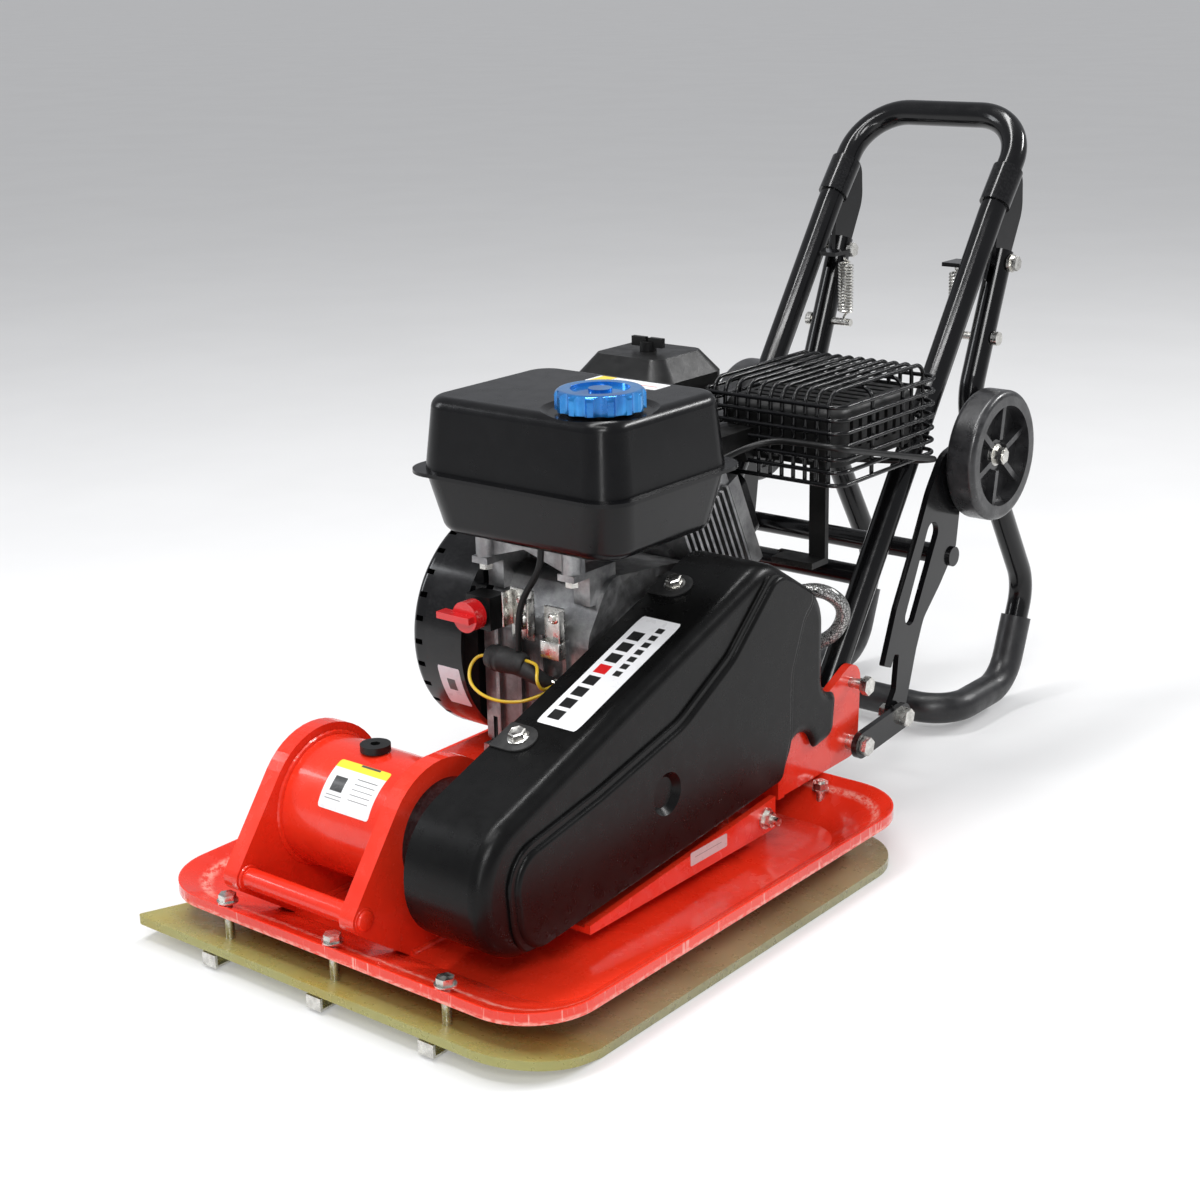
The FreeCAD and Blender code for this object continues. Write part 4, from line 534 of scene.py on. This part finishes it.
def spring_path(x):
    """Centre line of one tension spring: lower hook, close coils and upper hook."""
    low, high = SPRING_LOW_Z + HOOK_LENGTH, SPRING_TOP_Z - HOOK_LENGTH
    hook = [Vector((x, SPRING_Y - 3.0 * sin(pi * k / 5), SPRING_LOW_Z + 1.0 * k)) for k in range(6)]
    hook.append(Vector((x, SPRING_Y + COIL_R * 0.5, low - 1.2)))
    coils = []
    for k in range(COIL_TURNS * COIL_STEPS + 1):
        angle = 2 * pi * k / COIL_STEPS
        z = low + (high - low) * k / (COIL_TURNS * COIL_STEPS)
        coils.append(Vector((x + COIL_R * sin(angle), SPRING_Y + COIL_R * cos(angle), z)))
    top = [Vector((x, SPRING_Y + COIL_R * 0.5, high + 1.2))]
    top += [Vector((x, SPRING_Y - 3.0 * sin(pi * k / 5), SPRING_TOP_Z - 5.0 + 1.0 * k)) for k in range(6)]
    return hook + coils + top


def make_springs():
    """Both springs, each with a hook at its top for the handle and one at its foot for the stand; they ride
    on no body.
    """
    for side, word in ((1, "right"), (-1, "left")):
        name = "stand_spring_" + word
        bm = bmesh.new()
        sweep(bm, spring_path(side * SPRING_X), COIL_WIRE, 8)
        spring = new_piece(name, mesh_of(name, bm), ZINC, None)
        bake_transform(spring)
        if side > 0:
            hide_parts("stand_springs")


# ---------------------------------------------------------------- welds
EXC_Y, EXC_Z, EXC_R = -138.0, 108.0, 57.0
BRACKET_FACES = (-139.0, -123.0, -3.0, 13.0)
PLATE_TOP = 18.0
BAR_Y, BAR_Z, BAR_R = -234.0, 69.0, 9.0


def circle(x, y, z, r, count):
    return [Vector((x, y + r * cos(2 * pi * k / count), z + r * sin(2 * pi * k / count)))
            for k in range(count + 1)]


WELD_PITCH = 1.6


def line(a, b):
    a, b = Vector(a), Vector(b)
    count = max(2, int((b - a).length / WELD_PITCH))
    return [a.lerp(b, k / count) for k in range(count + 1)]


def weld(bm, points, r):
    """Bead with the ripples of its puddles and slightly uneven width."""
    sweep(bm, points, lambda i: r * (1.0 + 0.10 * cos(i * 2.1) + 0.06 * sin(i * 0.61)), 8)


def make_welds():
    """Beads round the exciter tube, the lifting bar and the brackets' feet, and the bar's turned ends."""
    bm = bmesh.new()
    for x, step in ((BRACKET_FACES[1], 1.2), (BRACKET_FACES[2], -1.2)):
        weld(bm, circle(x + step * 0.4, EXC_Y, EXC_Z, EXC_R + 0.6, 150), 2.6)
        weld(bm, circle(x + step * 0.4, BAR_Y, BAR_Z, BAR_R + 0.4, 40), 1.9)
    for x, out in zip(BRACKET_FACES, (-1, 1, -1, 1)):
        foot_x, foot_z = x + out * 0.6, PLATE_TOP + 0.6
        weld(bm, line((foot_x, EXC_Y - 46, foot_z), (foot_x, EXC_Y + 61, foot_z)), 3.0)
    new_piece("exciter_welds", mesh_of("exciter_welds", bm), RED, "chassis")
    bm = bmesh.new()
    for x, out in ((BRACKET_FACES[0], -1), (BRACKET_FACES[3], 1)):
        profile = [(0.02, BAR_R + 1.5), (0.6, BAR_R + 1.2), (0.8, BAR_R - 0.4), (2.2, BAR_R - 0.9),
                   (2.8, BAR_R - 1.8)]
        lathe(bm, (x, BAR_Y, BAR_Z), (out, 0, 0), profile, 36)
    new_piece("lifting_bar_ends", mesh_of("lifting_bar_ends", bm), RED, "chassis")


# ---------------------------------------------------------------- labels
def on_tube(x0, x1, y, z, r, low, high):
    """Patch of a tube along X; the angles are above the horizontal, towards the front."""
    def place(u, v):
        angle = radians(low + (high - low) * v)
        out = Vector((0.0, -cos(angle), sin(angle)))
        return Vector((x0 + (x1 - x0) * u, y, z)) + out * r, out
    return place


def on_plane(corner, along, up):
    corner, along, up = Vector(corner), Vector(along), Vector(up)
    normal = along.cross(up).normalized()

    def place(u, v):
        return corner + along * u + up * v, normal
    return place


def sticker(name, place, material):
    bm = bmesh.new()
    skin(bm, place, columns=24, rows=16, thick=0.25, corner=0.05)
    new_piece(name, mesh_of(name, bm), material, "chassis")


COVER_FRONT_Y, COVER_FRONT_Z = -220.0, 149.0
COVER_REAR_Y, COVER_REAR_Z = 170.0, 289.0
COVER_SLOPE = (COVER_REAR_Z - COVER_FRONT_Z) / (COVER_REAR_Y - COVER_FRONT_Y)


def cover_top(y):
    """Height of the belt cover's sloping top."""
    return COVER_FRONT_Z + (y - COVER_FRONT_Y) * COVER_SLOPE


def make_labels():
    """Generic blocks and bars where the machine has printed words."""
    tube_label = label("label_exciter", (0.78, 0.78, 0.78), [
        ((0.88, 0.66, 0.04), [("Z", 0.1572, 0.2)]),
        ((0.06, 0.06, 0.06), [("Z", 0.1600, 0.1612), ("X", -0.056, -0.034)])]
        + [((0.10, 0.10, 0.10), [("Z", z, z + 0.0008), ("X", -0.050, -0.027)])
           for z in (0.1535, 0.1505, 0.1472, 0.1437, 0.1400)]
        + [((0.10, 0.10, 0.10), [("Z", z, z + 0.0008), ("X", -0.075, -0.057)]) for z in (0.1398, 0.1372)]
        + [((0.03, 0.03, 0.03), [("Z", 0.1430, 0.1530), ("X", -0.073, -0.059)])])
    sticker("exciter_label", on_tube(-80, -22, EXC_Y, EXC_Z, EXC_R, 22, 68), tube_label)
    fan_label = label("label_fan", (0.72, 0.70, 0.74), [
        ((0.05, 0.05, 0.05), [("Z", 0.166, 0.178), ("X", -0.113, -0.103)])])
    sticker("fan_label", on_tube(-121, -95, 105, 208, 104, -34, -10), fan_label)
    large_pitch, small_pitch = 0.0152, 0.0098
    large = [((0.62, 0.010, 0.012) if k == 4 else (0.012, 0.012, 0.012),
              [("Y", -0.070 + large_pitch * k, -0.0585 + large_pitch * k), ("X", 0.0685, 0.0815)])
             for k in range(8)]
    small = [((0.02, 0.02, 0.02),
              [("Y", -0.008 + small_pitch * k, -0.0012 + small_pitch * k), ("X", 0.0880, 0.0955)])
             for k in range(7)]
    strip = label("label_cover", (0.84, 0.84, 0.85), large + small)
    low, high = -77.0, 68.0
    sticker("cover_label", on_plane((63, low, cover_top(low) + 0.05), (42, 0, 0),
                                    (0, high - low, cover_top(high) - cover_top(low))), strip)
    tank_strip = label("label_tank", (0.80, 0.80, 0.80), [
        ((0.85, 0.60, 0.04), [("X", -0.030, -0.014)]),
        ((0.70, 0.03, 0.02), [("X", -0.010, 0.040), ("Y", 0.1215, 0.1235)])])
    sticker("tank_label", on_plane((-33, 112, 440.0), (78, 0, 0), (0, 24, 0)), tank_strip)
    ramp_label = label("label_ramp", (0.62, 0.60, 0.60), [
        ((0.15, 0.15, 0.15), [("Z", 0.0490, 0.0498), ("Y", 0.052, 0.092)])])
    sticker("shelf_label", on_plane((128.0, 46, 42.5), (0, 54, 0), (0, 0, 12.5)), ramp_label)


# ---------------------------------------------------------------- bolts of the belt cover
COVER_BOLT_X, COVER_BOLT_PLACES = 65.0, (-100.0, 112.0)
PAD_R = 16.0


def make_cover_bolts():
    """Flange bolts on black D-shaped pads, square to the cover's slope."""
    up = Vector((0.0, -COVER_SLOPE, 1.0)).normalized()
    along = Vector((0.0, up.z, -up.y))
    bolts, pads = bmesh.new(), bmesh.new()
    for y in COVER_BOLT_PLACES:
        foot = Vector((COVER_BOLT_X, y, cover_top(y)))
        hex_head(bolts, foot + up * 2.3, up, 13.0, 6.0, 9.5)
        outline = [Vector((PAD_R * sin(radians(a)), PAD_R * cos(radians(a)), 0)) for a in range(0, 181, 10)]
        outline += [Vector((-19.0, -16.0, 0)), Vector((-20.0, -15.0, 0)), Vector((-20.0, 15.0, 0)),
                    Vector((-19.0, 16.0, 0))]
        layers = []
        for height, shrink in ((0.3, 1.0), (1.7, 1.0), (2.3, 0.95)):
            layers.append([pads.verts.new(foot + Vector((1, 0, 0)) * p.x * shrink + along * p.y * shrink
                                          + up * height) for p in outline])
        for low, high in zip(layers, layers[1:]):
            for k in range(len(outline)):
                pads.faces.new((low[k - 1], low[k], high[k], high[k - 1]))
        pads.faces.new(layers[0])
        pads.faces.new(layers[-1])
    heads = new_piece("cover_bolt_heads", mesh_of("cover_bolt_heads", bolts), ZINC, "chassis")
    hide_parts("cover_bolts")
    new_piece("cover_bolt_pads", mesh_of("cover_bolt_pads", pads), RUBBER, "chassis")


# ---------------------------------------------------------------- ignition parts on the engine's front
def make_ignition():
    """Plated brackets with their screws, and the rubber-covered module with its bent boot."""
    bm = bmesh.new()
    slab(bm, (-46, 20, 226), (-20, 22, 272), 0.6)
    slab(bm, (-46, 8, 238), (-44, 22, 270), 0.6)
    slab(bm, (-22, 12, 232), (-20, 22, 266), 0.6)
    slab(bm, (-8, 20, 216), (14, 22, 262), 0.6)
    slab(bm, (-8, 13, 216), (14, 22, 232), 1.4, 3)
    slab(bm, (12.4, 14, 232), (14, 22, 260), 0.6)
    hex_head(bm, (3, 20, 252), (0, -1, 0), 7.0, 3.0, 5.5)
    hex_head(bm, (-33, 20, 262), (0, -1, 0), 7.0, 3.0, 5.5)
    lathe(bm, (-33, 20, 244), (0, -1, 0), [(0, 9.0), (2.0, 8.6), (5.0, 6.4), (6.5, 4.0)], 28)
    plates = new_piece("ignition_plates", mesh_of("ignition_plates", bm), ZINC, "chassis")
    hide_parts("ignition_boot")
    bm = bmesh.new()
    lathe(bm, (-62, 8, 208), (1, 0, 0), [(0, 8.6), (0.8, 10.2), (3, 11.0), (7, 11.4), (7.6, 12.0), (10, 12.0),
                                         (10.6, 11.4), (14, 11.6), (14.6, 12.0), (17, 12.0), (17.6, 11.5),
                                         (36, 10.4), (40, 9.4), (42, 7.2)], 36)
    bend = [(-30, 8, 206), (-20, 9, 203), (-12, 12, 198), (-7, 17, 193), (-5, 24, 190)]
    sweep(bm, bend, lambda i: 9.0 - 0.9 * i, 20)
    new_piece("ignition_body", mesh_of("ignition_body", bm), RUBBER, "chassis")


# ---------------------------------------------------------------- cords
def cord(name, points, radius, material, nodes_replaced=()):
    """Cord with both ends in the object, on a smooth line through its route in millimetres."""
    curve = bpy.data.curves.new(name, "CURVE")
    curve.dimensions = "3D"
    curve.bevel_depth = radius * MM
    curve.bevel_resolution = 5
    curve.use_fill_caps = True
    curve.resolution_u = 16
    spline = curve.splines.new("NURBS")
    spline.points.add(len(points) - 1)
    for point, place in zip(spline.points, points):
        point.co = (*[c * MM for c in place], 1.0)
    spline.order_u = 3
    spline.use_endpoint_u = True
    obj = bpy.data.objects.new(name, curve)
    bpy.context.collection.objects.link(obj)
    curve.materials.append(material)
    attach(obj, "chassis")
    if nodes_replaced:
        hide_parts(*nodes_replaced)


# Control points of each cord's curve, in millimetres.
HOSE_ROUTE = [(16, 207, 160), (16, 256, 160), (50, 286, 206), (94, 294, 228), (112, 320, 204),
              (100, 314, 170), (58, 290, 157), (14, 278, 148), (14, 278, 102)]
CABLE_ROUTE = [(36, 176, 350), (36, 232, 358), (62, 262, 370), (100, 262, 371), (136.5, 262, 371),
               (136.5, 298, 361.5), (136.5, 410, 333), (136.5, 438, 326), (117, 432, 323), (84, 420, 321),
               (44, 402, 322)]
EARTH_ROUTE = [(-62, 8, 208), (-74, 8, 208), (-80, 0, 197), (-72, -9, 185), (-52, -13, 178), (-28, -11, 177),
               (-10, 2, 179), (-1, 22, 186)]
SHORT_ROUTE = [(-20, 8, 212), (-9, 8, 212), (1, -1, 211), (6, -9, 204), (7, -4, 194), (4, 8, 191),
               (3, 22, 191)]
COIL_ROUTE = [(-28, 8, 220), (-28, 8, 244), (-23, 9.5, 268), (-9, 13, 290), (-4, 14, 305), (-4, 14, 320)]


def make_cords():
    """Hose, control cable and the three leads of the ignition module with their nut."""
    cord("drain_hose", HOSE_ROUTE, 7.0, BRAID, ["oil_drain_hose"])
    cord("control_cable", CABLE_ROUTE, 3.0, PLASTIC, ["throttle_cable"])
    bm = bmesh.new()
    hex_head(bm, (1, 24, 189), (0, -1, 0), 10.0, 4.0, 6.0)
    nut = new_piece("earth_nut", mesh_of("earth_nut", bm), ZINC, "chassis")
    cord("earth_lead", EARTH_ROUTE, 1.5, YELLOW, ["wiring_loom"])
    cord("short_lead", SHORT_ROUTE, 1.5, YELLOW)
    cord("coil_lead", COIL_ROUTE, 3.0, PLASTIC)
    bm = bmesh.new()
    lathe(bm, (16, 205, 160), (0, 1, 0), [(0, 8.0), (0.5, 8.8), (14, 8.8), (14.5, 8.0)], 24)
    lathe(bm, (14, 278, 101.9), (0, 0, 1), [(0, 8.2), (0.5, 8.8), (16, 8.8), (16.6, 8.0)], 24)
    new_piece("hose_ferrules", mesh_of("hose_ferrules", bm), ZINC, "chassis")


# ---------------------------------------------------------------- camera, light, floor
CAMERA_PLACE = (1.1169, -1.2870, 0.8088)
CAMERA_TURN, CAMERA_RISE, CAMERA_ROLL = 39.1, 17.5, -1.25  # degrees


def place_camera():
    data = bpy.data.cameras.new("camera")
    camera = bpy.data.objects.new("camera", data)
    bpy.context.collection.objects.link(camera)
    data.sensor_width = 36.0
    data.lens = 62.9
    data.clip_end = 200.0
    turn, rise, roll = radians(CAMERA_TURN), radians(CAMERA_RISE), radians(CAMERA_ROLL)
    back = Vector((sin(turn) * cos(rise), -cos(turn) * cos(rise), sin(rise)))
    right = Vector((cos(turn), sin(turn), 0.0))
    up = back.cross(right)
    right, up = right * cos(roll) + up * sin(roll), up * cos(roll) - right * sin(roll)
    x, y, z = CAMERA_PLACE
    camera.matrix_world = Matrix(((right.x, up.x, back.x, x), (right.y, up.y, back.y, y),
                                  (right.z, up.z, back.z, z), (0, 0, 0, 1)))
    bpy.context.scene.camera = camera


def soft_light(name, place, target, size, power, color=(1.0, 1.0, 1.0)):
    data = bpy.data.lights.new(name, "AREA")
    data.shape = "RECTANGLE"
    data.size, data.size_y = size
    data.energy = power
    data.color = color
    lamp = bpy.data.objects.new(name, data)
    bpy.context.collection.objects.link(lamp)
    lamp.location = place
    lamp.rotation_euler = (Vector(target) - Vector(place)).to_track_quat("-Z", "Y").to_euler()


FLOOR_HALF = 70.0  # metres
FLOOR_GAP = 0.0006


def place_floor():
    """Pale plain floor, wide enough for its edge to stay far off."""
    mesh = bpy.data.meshes.new("floor")
    half = FLOOR_HALF
    corners = [(-half, -half, 0), (half, -half, 0), (half, half, 0), (-half, half, 0)]
    mesh.from_pydata(corners, [], [(0, 1, 2, 3)])
    floor = bpy.data.objects.new("floor", mesh)
    bpy.context.collection.objects.link(floor)
    floor.location.z = -FLOOR_GAP
    t = Tree("floor_pale")
    tone = t.mix(t.ramp(t.noise(3.0, 3.0), 0.3, 0.7), (0.56, 0.56, 0.56), (0.58, 0.58, 0.58))
    t.shader.inputs["Emission Color"].default_value = (1.0, 1.0, 1.0, 1.0)
    t.shader.inputs["Emission Strength"].default_value = 0.24
    mesh.materials.append(t.finish(tone, 0.8, specular=0.2))


place_camera()
place_floor()
world = bpy.data.worlds.new("studio")
bpy.context.scene.world = world
world.use_nodes = True
background = world.node_tree.nodes["Background"]
background.inputs["Color"].default_value = (0.93, 0.95, 1.0, 1.0)
background.inputs["Strength"].default_value = 0.38
bpy.context.scene.view_settings.view_transform = "Standard"
soft_light("key", (1.8, -2.3, 2.4), (0.0, 0.0, 0.2), (1.1, 0.8), 40.0)
soft_light("front", (1.5, -2.4, 0.8), (0.0, 0.0, 0.3), (0.25, 1.1), 9.0)
soft_light("strip", (0.2, -0.9, 2.3), (0.0, 0.0, 0.2), (2.0, 0.10), 17.0)
soft_light("top", (-0.4, 0.2, 2.5), (0.0, 0.1, 0.0), (2.4, 0.26), 42.0)
soft_light("left", (-2.6, -1.2, 1.6), (0.0, 0.0, 0.25), (0.7, 1.4), 22.0, (0.95, 0.97, 1.0))
soft_light("rear", (1.6, 2.6, 2.0), (0.0, 0.2, 0.3), (1.4, 0.22), 44.0)

make_springs()
make_welds()
make_labels()
make_ignition()
make_cover_bolts()
make_cords()
